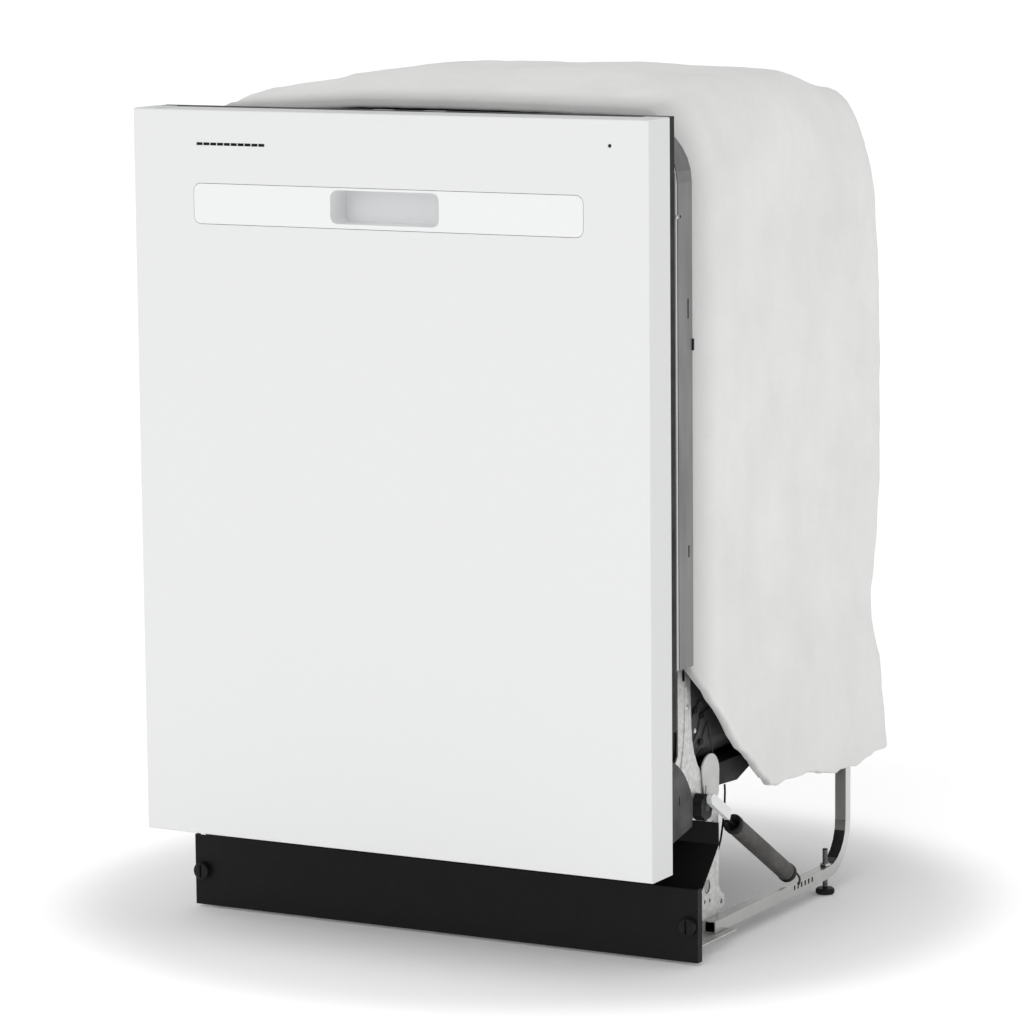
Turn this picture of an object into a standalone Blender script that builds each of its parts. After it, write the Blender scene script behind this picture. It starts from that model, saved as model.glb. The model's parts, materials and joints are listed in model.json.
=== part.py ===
"""A built-in dishwasher, 24 inch class, with its insulation blanket and toe panel.

World frame: +X to the right as seen from the front, +Z up, the door faces -Y.
The origin is on the floor, below the centre of the whole appliance.
Depths are given as the distance behind the door's front face.
"""
import math

import bmesh
import bpy
from mathutils import Matrix, Vector

# Whole appliance
DEPTH = 0.598
FRONT_Y = -DEPTH / 2
GAP = 0.0003

# Door
DOOR_HALF = 0.300
DOOR_BOTTOM = 0.106
DOOR_TOP = 0.870
DOOR_RIM = 0.046
SHEET = 0.001
PIVOT_DEPTH = 0.050
PIVOT_Z = 0.185

# Handle and front openings
BEZEL_HALF = 0.227
BEZEL_Z = (0.7525, 0.7940)
POCKET_HALF = 0.0635
POCKET_Z = (0.7570, 0.7915)
POCKET_DEPTH = 0.034
VENT_X = (-0.223, -0.140)
VENT_Z = 0.835
VENT_HEIGHT = 0.0030
VENT_SLITS = 10
LENS_X = 0.257
LENS_Z = 0.844

# Tub and the frame around its mouth
TUB_HALF = 0.272
TUB_BOTTOM = 0.190
TUB_TOP = 0.8403
TUB_FRONT = 0.074
TUB_BACK = 0.540
TUB_WALL = 0.0025
TUB_CORNER = 0.038
COLLAR_REACH = 0.0233
COLLAR_FRONT = 0.0650
COLLAR_BACK = 0.104
COLLAR_BOTTOM = 0.311
WASH_CENTRE = (0.0, 0.305)
SUMP_CENTRE = (0.115, 0.360)
SUMP_RADIUS = 0.060

# Side structure, from the middle outwards
BRACKET_X = (0.2751, 0.2766)
ARM_X = (0.2800, 0.2835)
RAIL_X = 0.28335
RAIL_WIDTH = 0.0127
RAIL_Z = 0.02435
RAIL_WALL = 0.0012
RAIL_FRONT = 0.165
RAIL_BEND_START = 0.4485
RAIL_BEND_RADIUS = 0.050
RAIL_TOP = 0.300
FOOT_FRONT = 0.120
FOOT_REAR = 0.452
FOOT_STUD = {"front": 0.044, "rear": 0.050}
FOOT_PAD = {"front": 0.0095, "rear": 0.0100}
ROLLER_CENTRE = (0.149, 0.155)
ROLLER_RADIUS = 0.0145
SLEEVE_TOP = (0.217, 0.1245)
SLEEVE_BOTTOM = (0.354, 0.0426)
SLEEVE_RADIUS = 0.0098
SPRING_X = 0.2845

# Toe kick
TOE_HALF = 0.303
TOE_DEPTH = 0.097
TOE_Z = (0.003, 0.080)
KNOB_X = 0.2925
KNOB_Z = 0.041

# Insulation blanket
BLANKET_HALF = 0.3055
BLANKET_FRONT = 0.106
BLANKET_TOP = 0.912
BLANKET_THICK = 0.014

# Racks
RACK_FRONT = 0.115
RACK_BACK = 0.508
RACK_HALF = 0.252
WIRE = 0.0036
LOWER_RACK_Z = (0.2420, 0.3500)
UPPER_RACK_Z = (0.6050, 0.7150)
LOWER_ARM_Z = 0.2180
UPPER_ARM_Z = 0.5880

SIDES = (("left", -1), ("right", 1))
ABOUT_X = Matrix(((0, 0, 1), (1, 0, 0), (0, 1, 0))).to_4x4()
ABOUT_Y = Matrix(((1, 0, 0), (0, 0, -1), (0, 1, 0))).to_4x4()
ABOUT_Z = Matrix.Identity(4)


def behind(x, depth, z):
    """World point at x, the given depth behind the door's face, and height z."""
    return Vector((x, FRONT_Y + depth, z))


# ---------------------------------------------------------------- scene set-up

def clear_scene():
    for old in list(bpy.data.objects):
        bpy.data.objects.remove(old)


def new_collection(name):
    group = bpy.data.collections.new(name)
    bpy.context.scene.collection.children.link(group)
    return group


clear_scene()
PARTS = new_collection("built_in_dishwasher")
CUTTERS = new_collection("cutters")


def finish(name, colour, roughness, metallic=0.0):
    mat = bpy.data.materials.new(name)
    mat.use_nodes = True
    shader = mat.node_tree.nodes["Principled BSDF"]
    shader.inputs["Base Color"].default_value = (*colour, 1.0)
    shader.inputs["Roughness"].default_value = roughness
    shader.inputs["Metallic"].default_value = metallic
    mat.diffuse_color = (*colour, 1.0)
    return mat


WHITE = finish("white_enamel", (0.86, 0.87, 0.88), 0.30)
WHITE_PLASTIC = finish("white_plastic", (0.84, 0.85, 0.86), 0.38)
BLACK_PLASTIC = finish("black_plastic", (0.020, 0.020, 0.022), 0.45)
BLACK_PAINT = finish("black_paint", (0.014, 0.014, 0.015), 0.50)
GALVANISED = finish("galvanised_steel", (0.52, 0.52, 0.51), 0.42, 1.0)
BRIGHT_STEEL = finish("bright_steel", (0.62, 0.62, 0.60), 0.28, 1.0)
DARK_STEEL = finish("dark_steel", (0.09, 0.09, 0.095), 0.45, 1.0)
STAINLESS = finish("stainless_steel", (0.56, 0.57, 0.58), 0.30, 1.0)
TUB_GREY = finish("tub_grey", (0.085, 0.085, 0.090), 0.55)
MASTIC = finish("mastic", (0.012, 0.012, 0.013), 0.75)
RUBBER = finish("grey_rubber", (0.050, 0.050, 0.052), 0.80)
FIBRE = finish("fibre_batt", (0.72, 0.72, 0.71), 0.95)
GREY_NYLON = finish("grey_nylon", (0.36, 0.36, 0.36), 0.40)
SLEEVE_TAUPE = finish("spring_sleeve", (0.105, 0.095, 0.088), 0.70)
RACK_GREY = finish("rack_coating", (0.30, 0.31, 0.33), 0.40)
HEATER_SHEATH = finish("heater_sheath", (0.22, 0.20, 0.18), 0.45, 1.0)


# ------------------------------------------------------------------- modelling

def add(name, data, mat, group=None):
    obj = bpy.data.objects.new(name, data)
    (group or PARTS).objects.link(obj)
    if mat is not None:
        data.materials.append(mat)
    return obj


def mesh_object(name, bm, mat, group=None):
    bmesh.ops.recalc_face_normals(bm, faces=bm.faces)
    data = bpy.data.meshes.new(name)
    bm.to_mesh(data)
    bm.free()
    return add(name, data, mat, group)


def block(name, x, depth, z, mat, bevel=0.0, group=None):
    """A box between the two values of x, of depth and of z, with its origin in its middle."""
    size = Vector((x[1] - x[0], depth[1] - depth[0], z[1] - z[0]))
    bm = bmesh.new()
    bmesh.ops.create_cube(bm, size=1.0)
    bmesh.ops.scale(bm, vec=size, verts=bm.verts)
    obj = mesh_object(name, bm, mat, group)
    obj.location = behind((x[0] + x[1]) / 2, (depth[0] + depth[1]) / 2, (z[0] + z[1]) / 2)
    if bevel:
        round_edges(obj, bevel)
    return obj


def round_edges(obj, width, segments=2, angle=35):
    rounding = obj.modifiers.new("round", "BEVEL")
    rounding.width = width
    rounding.segments = segments
    rounding.limit_method = "ANGLE"
    rounding.angle_limit = math.radians(angle)


def arc(centre, radius, start, end, steps):
    """Points on an arc, angles in degrees, both ends included."""
    points = []
    for i in range(steps + 1):
        angle = math.radians(start + (end - start) * i / steps)
        points.append((centre[0] + radius * math.cos(angle), centre[1] + radius * math.sin(angle)))
    return points


def circle(centre, radius, steps=16):
    return arc(centre, radius, 0, 360, steps)[:-1]


def rounded_rect(x, z, radius, steps=4):
    """Outline of a rectangle between two x and two z values, with round corners."""
    low_x, high_x = x[0] + radius, x[1] - radius
    low_z, high_z = z[0] + radius, z[1] - radius
    points = arc((high_x, low_z), radius, -90, 0, steps)
    points += arc((high_x, high_z), radius, 0, 90, steps)
    points += arc((low_x, high_z), radius, 90, 180, steps)
    points += arc((low_x, low_z), radius, 180, 270, steps)
    return points


def plate(name, outline, turn, middle, thickness, mat, holes=(), group=None):
    """A flat outline with holes, as a filled 2D curve. turn says what it is extruded along."""
    data = bpy.data.curves.new(name, "CURVE")
    data.dimensions = "2D"
    data.fill_mode = "BOTH"
    data.extrude = thickness / 2
    for loop in (outline, *holes):
        spline = data.splines.new("POLY")
        spline.points.add(len(loop) - 1)
        for point, (a, b) in zip(spline.points, loop):
            point.co = (a, b, 0.0, 1.0)
        spline.use_cyclic_u = True
    obj = add(name, data, mat, group)
    obj.matrix_world = Matrix.Translation(middle) @ turn
    return obj


def side_plate(name, outline, x, mat, holes=(), group=None):
    """A plate square to X between two x values. Its outline is in (depth, z)."""
    low, high = min(x), max(x)
    middle = behind((low + high) / 2, 0.0, 0.0)
    return plate(name, outline, ABOUT_X, middle, high - low, mat, holes, group)


def front_plate(name, outline, depth, mat, holes=(), group=None):
    """A plate square to Y between two depths. Its outline is in (x, z)."""
    middle = behind(0.0, (depth[0] + depth[1]) / 2, 0.0)
    return plate(name, outline, ABOUT_Y, middle, depth[1] - depth[0], mat, holes, group)


def as_mesh(obj):
    """Replace a curve object by the mesh that it draws, with its caps welded."""
    graph = bpy.context.evaluated_depsgraph_get()
    data = bpy.data.meshes.new_from_object(obj.evaluated_get(graph))
    bm = bmesh.new()
    bm.from_mesh(data)
    bmesh.ops.remove_doubles(bm, verts=bm.verts, dist=0.000001)
    bmesh.ops.recalc_face_normals(bm, faces=bm.faces)
    bm.to_mesh(data)
    bm.free()
    name, group, place = obj.name, obj.users_collection[0], obj.matrix_world.copy()
    bpy.data.objects.remove(obj)
    solid = bpy.data.objects.new(name, data)
    group.objects.link(solid)
    solid.matrix_world = place
    return solid


def boolean(obj, tool, operation):
    tool.hide_render = True
    tool.display_type = "WIRE"
    step = obj.modifiers.new(operation.lower(), "BOOLEAN")
    step.operation = operation
    step.solver = "EXACT"
    step.object = tool


def cut(obj, tool):
    boolean(obj, tool, "DIFFERENCE")


def join(obj, tool):
    boolean(obj, tool, "UNION")


def merged_cutter(name, boxes):
    """One cutter made of several boxes that don't touch, each as x, depth and z ranges."""
    bm = bmesh.new()
    for x, depth, z in boxes:
        size = Vector((x[1] - x[0], depth[1] - depth[0], z[1] - z[0]))
        made = bmesh.ops.create_cube(bm, size=1.0)["verts"]
        bmesh.ops.scale(bm, vec=size, verts=made)
        middle = behind((x[0] + x[1]) / 2, (depth[0] + depth[1]) / 2, (z[0] + z[1]) / 2)
        bmesh.ops.translate(bm, vec=middle, verts=made)
    return mesh_object(name, bm, None, CUTTERS)


def cylinder(name, centre, radius, length, turn, mat, steps=24, group=None):
    bm = bmesh.new()
    bmesh.ops.create_cone(
        bm, cap_ends=True, segments=steps, radius1=radius, radius2=radius, depth=length
    )
    obj = mesh_object(name, bm, mat, group)
    obj.matrix_world = Matrix.Translation(centre) @ turn
    smooth(obj)
    return obj


def smooth(obj):
    obj.data.shade_smooth()
    obj.data.set_sharp_from_angle(angle=math.radians(35))


def turned(name, profile, centre, turn, mat, steps=24):
    """A profile of (radius, height) turned about its own Z axis."""
    data = bpy.data.meshes.new(name)
    edges = [(i, i + 1) for i in range(len(profile) - 1)]
    data.from_pydata([(r, 0.0, h) for r, h in profile], edges, [])
    obj = add(name, data, mat)
    obj.matrix_world = Matrix.Translation(centre) @ turn
    screw = obj.modifiers.new("turn", "SCREW")
    screw.steps = steps
    screw.render_steps = steps
    screw.use_merge_vertices = True
    screw.merge_threshold = 0.00001
    screw.use_smooth_shade = True
    return obj


def tube(name, route, radius, mat, resolution=2, radii=None):
    data = bpy.data.curves.new(name, "CURVE")
    data.dimensions = "3D"
    data.bevel_depth = radius
    data.bevel_resolution = resolution
    data.use_fill_caps = True
    spline = data.splines.new("POLY")
    spline.points.add(len(route) - 1)
    for i, place in enumerate(route):
        spline.points[i].co = (*place, 1.0)
        spline.points[i].radius = radii[i] if radii else 1.0
    return add(name, data, mat)


def loft(name, rings, mat):
    """Quads between rings of points, with a face over each end."""
    bm = bmesh.new()
    rows = [[bm.verts.new(point) for point in ring] for ring in rings]
    count = len(rings[0])
    for row, after in zip(rows, rows[1:]):
        for i in range(count):
            j = (i + 1) % count
            bm.faces.new((row[i], row[j], after[j], after[i]))
    bm.faces.new(rows[0])
    bm.faces.new(rows[-1])
    return mesh_object(name, bm, mat)


def arch(half, top, corner, bottom, steps=8):
    """Stations of an inverted U as (point, outward direction), in (x, z)."""
    stations = [((half, bottom), (1.0, 0.0))]
    for side, start in ((1, 0), (-1, 90)):
        for i in range(steps + 1):
            angle = math.radians(start + 90 * i / steps)
            out = (math.cos(angle), math.sin(angle))
            centre = (side * (half - corner), top - corner)
            stations.append(((centre[0] + corner * out[0], centre[1] + corner * out[1]), out))
    stations.append(((-half, bottom), (-1.0, 0.0)))
    return stations


def arch_loft(name, stations, section, mat):
    """A section of (distance outwards, depth) carried along an inverted U."""
    rings = []
    for (x, z), out in stations:
        rings.append([behind(x + n * out[0], depth, z + n * out[1]) for n, depth in section])
    return loft(name, rings, mat)


# ------------------------------------------------------------------------ door

def make_door_panel():
    """The outer sheet: a front face with rims turned back, and a short return below."""
    bm = bmesh.new()
    low_return = 0.012
    corners = [(-DOOR_HALF, DOOR_BOTTOM), (DOOR_HALF, DOOR_BOTTOM),
               (DOOR_HALF, DOOR_TOP), (-DOOR_HALF, DOOR_TOP)]
    front = [bm.verts.new(behind(x, 0.0, z)) for x, z in corners]
    rim = [bm.verts.new(behind(x, DOOR_RIM, z)) for x, z in corners]
    lip = [bm.verts.new(behind(x, low_return, z)) for x, z in corners[:2]]
    bm.faces.new(front)
    bm.faces.new((front[2], rim[2], rim[3], front[3]))
    bm.faces.new((front[1], lip[1], rim[1], rim[2], front[2]))
    bm.faces.new((front[3], rim[3], rim[0], lip[0], front[0]))
    bm.faces.new((front[0], lip[0], lip[1], front[1]))
    bmesh.ops.recalc_face_normals(bm, faces=bm.faces)
    bm.faces.ensure_lookup_table()
    front_edges = list(bm.faces[0].edges)
    bmesh.ops.bevel(bm, geom=front_edges, offset=0.0014, segments=2, profile=0.5,
                    affect="EDGES")
    data = bpy.data.meshes.new("door_panel")
    bm.to_mesh(data)
    bm.free()
    panel = add("door_panel", data, WHITE)
    sheet = panel.modifiers.new("sheet", "SOLIDIFY")
    sheet.thickness = SHEET
    sheet.offset = -1.0 if front_faces_out(data) else 1.0
    sheet.use_even_offset = True
    cut_front_openings(panel)
    return panel


def front_faces_out(data):
    """Whether the widest face points towards the front."""
    widest = max(data.polygons, key=lambda face: face.area)
    return widest.normal.y < 0


def cut_front_openings(panel):
    opening = rounded_rect((-BEZEL_HALF - 0.0005, BEZEL_HALF + 0.0005),
                           (BEZEL_Z[0] - 0.0005, BEZEL_Z[1] + 0.0005), 0.0085)
    cut(panel, as_mesh(front_plate("bezel_opening", opening, (-0.01, 0.01), None, (), CUTTERS)))
    pitch = (VENT_X[1] - VENT_X[0]) / VENT_SLITS
    height = (VENT_Z - VENT_HEIGHT / 2, VENT_Z + VENT_HEIGHT / 2)
    slits = []
    for i in range(VENT_SLITS):
        start = VENT_X[0] + pitch * i
        slits.append(((start, start + pitch - 0.0007), (-0.01, 0.01), height))
    cut(panel, merged_cutter("vent_slits", slits))
    cut(panel, cylinder("lens_hole", behind(LENS_X, 0.0, LENS_Z), 0.0020, 0.02, ABOUT_Y, None,
                        12, CUTTERS))


def make_handle():
    """The flush insert with the finger pocket behind it."""
    face = rounded_rect((-BEZEL_HALF, BEZEL_HALF), BEZEL_Z, 0.008)
    handle = as_mesh(front_plate("handle_bezel", face, (0.0, 0.003), WHITE_PLASTIC))
    wall = 0.0016
    outer = rounded_rect((-POCKET_HALF - wall, POCKET_HALF + wall),
                         (POCKET_Z[0] - wall, POCKET_Z[1] + wall), 0.0096)
    inner = rounded_rect((-POCKET_HALF, POCKET_HALF), POCKET_Z, 0.008)
    shell = as_mesh(front_plate("pocket_shell", outer, (0.001, POCKET_DEPTH + wall), None, (),
                                CUTTERS))
    hollow = as_mesh(front_plate("pocket_hollow", inner, (-0.01, POCKET_DEPTH), None, (),
                                 CUTTERS))
    join(handle, shell)
    cut(handle, hollow)
    return handle


def make_liner():
    """The pressed inner door: a skirt, a flat for the seal and a raised field."""
    skirt = ((-0.2740, 0.2740), (0.1920, 0.8445), 0.010)
    field = ((-0.2570, 0.2570), (0.2120, 0.8270), 0.045)
    crown = ((-0.2530, 0.2530), (0.2160, 0.8230), 0.041)
    levels = [(skirt, DOOR_RIM + GAP), (skirt, 0.0590), (field, 0.0590), (crown, 0.0725)]
    rings = []
    for (x, z, radius), depth in levels:
        rings.append([behind(a, depth, b) for a, b in rounded_rect(x, z, radius)])
    bm = bmesh.new()
    rows = [[bm.verts.new(point) for point in ring] for ring in rings]
    for row, after in zip(rows, rows[1:]):
        for i in range(len(row)):
            j = (i + 1) % len(row)
            bm.faces.new((row[i], row[j], after[j], after[i]))
    bm.faces.new(rows[-1])
    liner = mesh_object("door_liner", bm, STAINLESS)
    sheet = liner.modifiers.new("sheet", "SOLIDIFY")
    sheet.thickness = SHEET
    sheet.offset = -1.0
    sheet.use_even_offset = True
    return liner


def make_console():
    """The black frame of the inner door, with the control strip along its top."""
    outer, inner = 0.297, 0.2795
    low, sill, top = 0.250, 0.8450, 0.8705
    outline = [(-outer, low), (-inner, low), (-inner, sill), (inner, sill),
               (inner, low), (outer, low), (outer, top), (-outer, top)]
    console = as_mesh(front_plate("console_frame", outline, (DOOR_RIM + GAP, 0.0620),
                                  BLACK_PLASTIC))
    buttons, wells = [], []
    count, spacing, half = 2, 0.060, 0.012
    for i in range(count):
        x = (i - (count - 1) / 2) * spacing
        wells.append(((x - half - GAP, x + half + GAP), (0.0497, 0.0583), (0.8645, 0.8750)))
        buttons.append(block(f"console_button_{i + 1}", (x - half, x + half), (0.0500, 0.0580),
                             (0.8662, 0.8708), GREY_NYLON, 0.0008))
    cut(console, merged_cutter("button_wells", wells))
    return console, buttons


def make_dispenser():
    """The detergent dispenser on the inner door, with a lid that swings on its left edge."""
    body = block("dispenser_body", (-0.105, 0.065), (0.0728, 0.0810), (0.4800, 0.6000),
                 GREY_NYLON, 0.002)
    cup = merged_cutter("dispenser_cup", [((-0.088, -0.012), (0.0755, 0.0900), (0.5020, 0.5780))])
    cut(body, cup)
    lid = block("dispenser_lid", (-0.0920, -0.0080), (0.0813, 0.0836), (0.4980, 0.5820),
                GREY_NYLON, 0.0008)
    move_origin(lid, behind(-0.0920, 0.0825, 0.5400))
    cap = turned("rinse_aid_cap", [(0.0, 0.0030), (0.0120, 0.0030), (0.0140, 0.0018),
                                   (0.0140, 0.0), (0.0, 0.0)],
                 behind(0.0300, 0.0813, 0.5400), ABOUT_Y @ Matrix.Rotation(math.pi, 4, "X"),
                 BLACK_PLASTIC)
    return body, lid, cap


def move_origin(obj, place):
    """Move an object's origin without moving its shape."""
    obj.data.transform(Matrix.Translation(obj.location - place))
    obj.location = place


def make_latch():
    return block("door_latch", (-0.022, 0.022), (0.0623, 0.0735), (0.8480, 0.8600),
                 BLACK_PLASTIC, 0.001)


def make_hinge_arm(side_name, side):
    """A steel arm: a leg up inside the door and a heel that swings up past the roller."""
    sweep = ((0.045, 0.135), 0.0870)
    outline = [(0.008, 0.120), (0.070, 0.128), (0.1245, 0.1390), (0.1262, 0.1580)]
    outline += arc(*sweep, 22, 64, 6)
    outline += [(0.062, 0.222), (0.040, 0.232), (0.040, 0.330), (0.008, 0.330)]
    x = [side * value for value in ARM_X]
    holes = [circle((PIVOT_DEPTH, PIVOT_Z), 0.0045),
             rounded_rect((0.0945, 0.0965), (0.166, 0.176), 0.0009, 2)]
    return side_plate(f"hinge_arm_{side_name}", outline, x, DARK_STEEL, holes)


def make_door():
    hinge = bpy.data.objects.new("door_hinge", None)
    hinge.location = behind(0.0, PIVOT_DEPTH, PIVOT_Z)
    PARTS.objects.link(hinge)
    console, buttons = make_console()
    pieces = [make_door_panel(), make_handle(), make_liner(), console, make_latch()]
    pieces += buttons + list(make_dispenser())
    pieces += [make_hinge_arm(name, side) for name, side in SIDES]
    bpy.context.view_layer.update()
    for piece in pieces:
        place = piece.matrix_world.copy()
        piece.parent = hinge
        piece.matrix_parent_inverse = hinge.matrix_world.inverted()
        piece.matrix_world = place


# ------------------------------------------------------------------------- tub

def make_tub():
    """The wash tub: a sleeve open at the front, and a flat back wall welded to its rear."""
    outline = rounded_rect((-TUB_HALF, TUB_HALF), (TUB_BOTTOM, TUB_TOP), TUB_CORNER, 6)
    seam = TUB_BACK - TUB_WALL
    bm = bmesh.new()
    mouth = [bm.verts.new(behind(x, TUB_FRONT, z)) for x, z in outline]
    rear = [bm.verts.new(behind(x, seam - GAP, z)) for x, z in outline]
    for i in range(len(outline)):
        j = (i + 1) % len(outline)
        bm.faces.new((mouth[i], mouth[j], rear[j], rear[i]))
    tub = mesh_object("tub", bm, TUB_GREY)
    wall = tub.modifiers.new("wall", "SOLIDIFY")
    wall.thickness = TUB_WALL
    wall.offset = -1.0
    wall.use_even_offset = True
    floor = TUB_BOTTOM + TUB_WALL
    post = cylinder("wash_outlet", behind(*WASH_CENTRE, floor + 0.009), 0.016, 0.020, ABOUT_Z,
                    None, 24, CUTTERS)
    join(tub, post)
    seat = cylinder("sump_seat", behind(*SUMP_CENTRE, floor), SUMP_RADIUS + GAP, 0.04, ABOUT_Z,
                    None, 32, CUTTERS)
    cut(tub, seat)
    front_plate("tub_back", outline, (seam, TUB_BACK), TUB_GREY)


def make_collar():
    """The steel channel around the tub's mouth, with side slots and the latch's strike opening."""
    fold = 0.0015
    grip = TUB_FRONT + 0.010
    section = [(0.0, COLLAR_FRONT), (COLLAR_REACH, COLLAR_FRONT), (COLLAR_REACH, COLLAR_BACK),
               (COLLAR_REACH - fold, COLLAR_BACK), (COLLAR_REACH - fold, COLLAR_FRONT + fold),
               (fold, COLLAR_FRONT + fold), (fold, grip), (0.0, grip)]
    path = arch(TUB_HALF + GAP, TUB_TOP + GAP, TUB_CORNER, COLLAR_BOTTOM)
    collar = arch_loft("tub_collar", path, section, GALVANISED)
    strike = ((-0.0260, 0.0260), (0.050, 0.080), (0.8462, 0.8618))
    openings = [strike]
    for height, depth, width, length in ((0.676, 0.0945, 0.0028, 0.020),
                                         (0.7696, 0.0782, 0.0026, 0.0026),
                                         (0.430, 0.0945, 0.0028, 0.012)):
        for side in (-1, 1):
            x = sorted((side * 0.285, side * 0.305))
            openings.append((x, (depth - width / 2, depth + width / 2),
                             (height - length / 2, height + length / 2)))
    cut(collar, merged_cutter("collar_slots", openings))


def make_gasket():
    section = [(-0.0110, 0.0595), (-0.0020, 0.0595), (-0.0010, 0.0640), (-0.0010, 0.0736),
               (-0.0110, 0.0736), (-0.0125, 0.0665)]
    path = arch(TUB_HALF, TUB_TOP, TUB_CORNER, 0.215)
    arch_loft("tub_gasket", path, section, RUBBER)


def make_under_tray():
    """The damped tray under the tub, with room for the sump and the pumps."""
    outline = [(0.153, 0.1894), (0.160, 0.1690), (0.249, 0.1640), (0.285, 0.1750),
               (TUB_BACK - 0.005, 0.1750), (TUB_BACK - 0.005, 0.1894)]
    tray = as_mesh(side_plate("under_tray", outline, (-0.2745, 0.2745), MASTIC))
    well = cylinder("tray_well", behind(*SUMP_CENTRE, 0.18), 0.070, 0.06, ABOUT_Z, None, 32,
                    CUTTERS)
    cut(tray, well)


def make_sump_and_filter():
    floor = TUB_BOTTOM + TUB_WALL
    rim = floor + GAP
    base = 0.115
    wall = 0.002
    flange = SUMP_RADIUS + 0.009
    profile = [(0.0, base + wall), (SUMP_RADIUS - wall, base + wall),
               (SUMP_RADIUS - wall, rim + wall), (flange, rim + wall), (flange, rim),
               (SUMP_RADIUS, rim), (SUMP_RADIUS, base), (0.0, base)]
    turned("sump", profile, behind(*SUMP_CENTRE, 0.0), ABOUT_Z, BLACK_PLASTIC, 32)
    low = base + wall + GAP
    profile = [(0.0, 0.2080), (0.0080, 0.2080), (0.0090, 0.2020), (0.0100, 0.1990),
               (0.0400, 0.1990), (0.0400, 0.1950), (0.0360, 0.1920), (0.0360, low), (0.0, low)]
    turned("filter", profile, behind(*SUMP_CENTRE, 0.0), ABOUT_Z, GREY_NYLON, 24)


def make_pumps():
    cylinder("wash_motor", behind(-0.110, 0.390, 0.118), 0.044, 0.130, ABOUT_X, GREY_NYLON)
    cylinder("drain_pump", behind(0.020, 0.340, 0.135), 0.024, 0.050, ABOUT_X, WHITE_PLASTIC)
    block("junction_box", (0.120, 0.220), (0.175, 0.255), (0.030, 0.085), GALVANISED, 0.001)


def make_spray_arm(name, z, length, mat):
    """A flat arm with round ends and a thicker hub, turning about a vertical axis."""
    half, end = length / 2, 0.020
    outline = arc((half - end, 0.0), end, -90, 90, 6)
    outline += [(0.0, 0.026)]
    outline += arc((end - half, 0.0), end, 90, 270, 6)
    outline += [(0.0, -0.026)]
    centre = behind(*WASH_CENTRE, z)
    arm = as_mesh(plate(name, outline, ABOUT_Z, centre, 0.008, mat))
    hub = cylinder(f"{name}_hub", centre + Vector((0.0, 0.0, 0.003)), 0.017, 0.012, ABOUT_Z, None,
                   24, CUTTERS)
    join(arm, hub)
    turn = Matrix.Rotation(math.radians(24), 4, "Z")
    arm.matrix_world = Matrix.Translation(centre) @ turn
    return arm


def make_wash_system():
    make_spray_arm("lower_spray_arm", LOWER_ARM_Z, 0.400, GREY_NYLON)
    make_spray_arm("upper_spray_arm", UPPER_ARM_Z, 0.400, GREY_NYLON)
    back = TUB_BACK - TUB_WALL - 0.0110
    route = [behind(0.0, back, TUB_BOTTOM + TUB_WALL + GAP), behind(0.0, back, UPPER_ARM_Z)]
    tube("feed_tube", route, 0.010, GREY_NYLON)
    heater = [behind(x, d, 0.2035) for x, d in heater_loop()]
    tube("heating_element", heater, 0.0035, HEATER_SHEATH)


def heater_loop():
    """The heater follows the tub's floor as a wide U, open at the back."""
    half, front, back, bend = 0.225, 0.130, 0.505, 0.070
    points = [(half, back)]
    points += arc((half - bend, front + bend), bend, 0, -90, 6)
    points += arc((bend - half, front + bend), bend, -90, -180, 6)
    points += [(-half, back)]
    return points


# ----------------------------------------------------------------------- racks

def rack_panel(name, corner, across, up, columns, rows):
    """A flat grid of wires from one corner, spanned by two directions."""
    bm = bmesh.new()
    knots = []
    for j in range(rows + 1):
        row = []
        for i in range(columns + 1):
            row.append(bm.verts.new(corner + across * (i / columns) + up * (j / rows)))
        knots.append(row)
    for low, high in zip(knots, knots[1:]):
        for i in range(columns):
            bm.faces.new((low[i], low[i + 1], high[i + 1], high[i]))
    panel = mesh_object(name, bm, RACK_GREY)
    wires = panel.modifiers.new("wires", "WIREFRAME")
    wires.thickness = WIRE
    wires.use_even_offset = True
    wires.use_boundary = True
    wires.use_replace = True


def make_rack(name, z):
    """A wire rack: a flat floor with four upright walls."""
    step = WIRE + GAP
    bottom, height = z[0] + step, z[1] - z[0] - step
    up = Vector((0.0, 0.0, height))
    width = Vector((2 * RACK_HALF, 0.0, 0.0))
    back = Vector((0.0, RACK_BACK - RACK_FRONT, 0.0))
    inner_back = Vector((0.0, RACK_BACK - RACK_FRONT - 2 * step, 0.0))
    rack_panel(f"{name}_floor", behind(-RACK_HALF, RACK_FRONT, z[0]), width, back, 14, 10)
    for label, depth in (("front", RACK_FRONT), ("back", RACK_BACK)):
        rack_panel(f"{name}_{label}", behind(-RACK_HALF, depth, bottom), width, up, 14, 2)
    for label, side in SIDES:
        rack_panel(f"{name}_{label}", behind(side * RACK_HALF, RACK_FRONT + step, bottom),
                   inner_back, up, 10, 2)


def make_basket():
    x, depth, z = (-0.125, 0.125), (0.124, 0.186), (0.2480, 0.3700)
    basket = block("silverware_basket", x, depth, z, GREY_NYLON, 0.003)
    pockets = []
    wall, count = 0.0025, 3
    pitch = (x[1] - x[0] - wall) / count
    for i in range(count):
        start = x[0] + wall + pitch * i
        pockets.append(((start, start + pitch - wall), (depth[0] + wall, depth[1] - wall),
                        (z[0] + wall, z[1] + 0.01)))
    cut(basket, merged_cutter("basket_pockets", pockets))


# --------------------------------------------------------------- side structure

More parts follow.
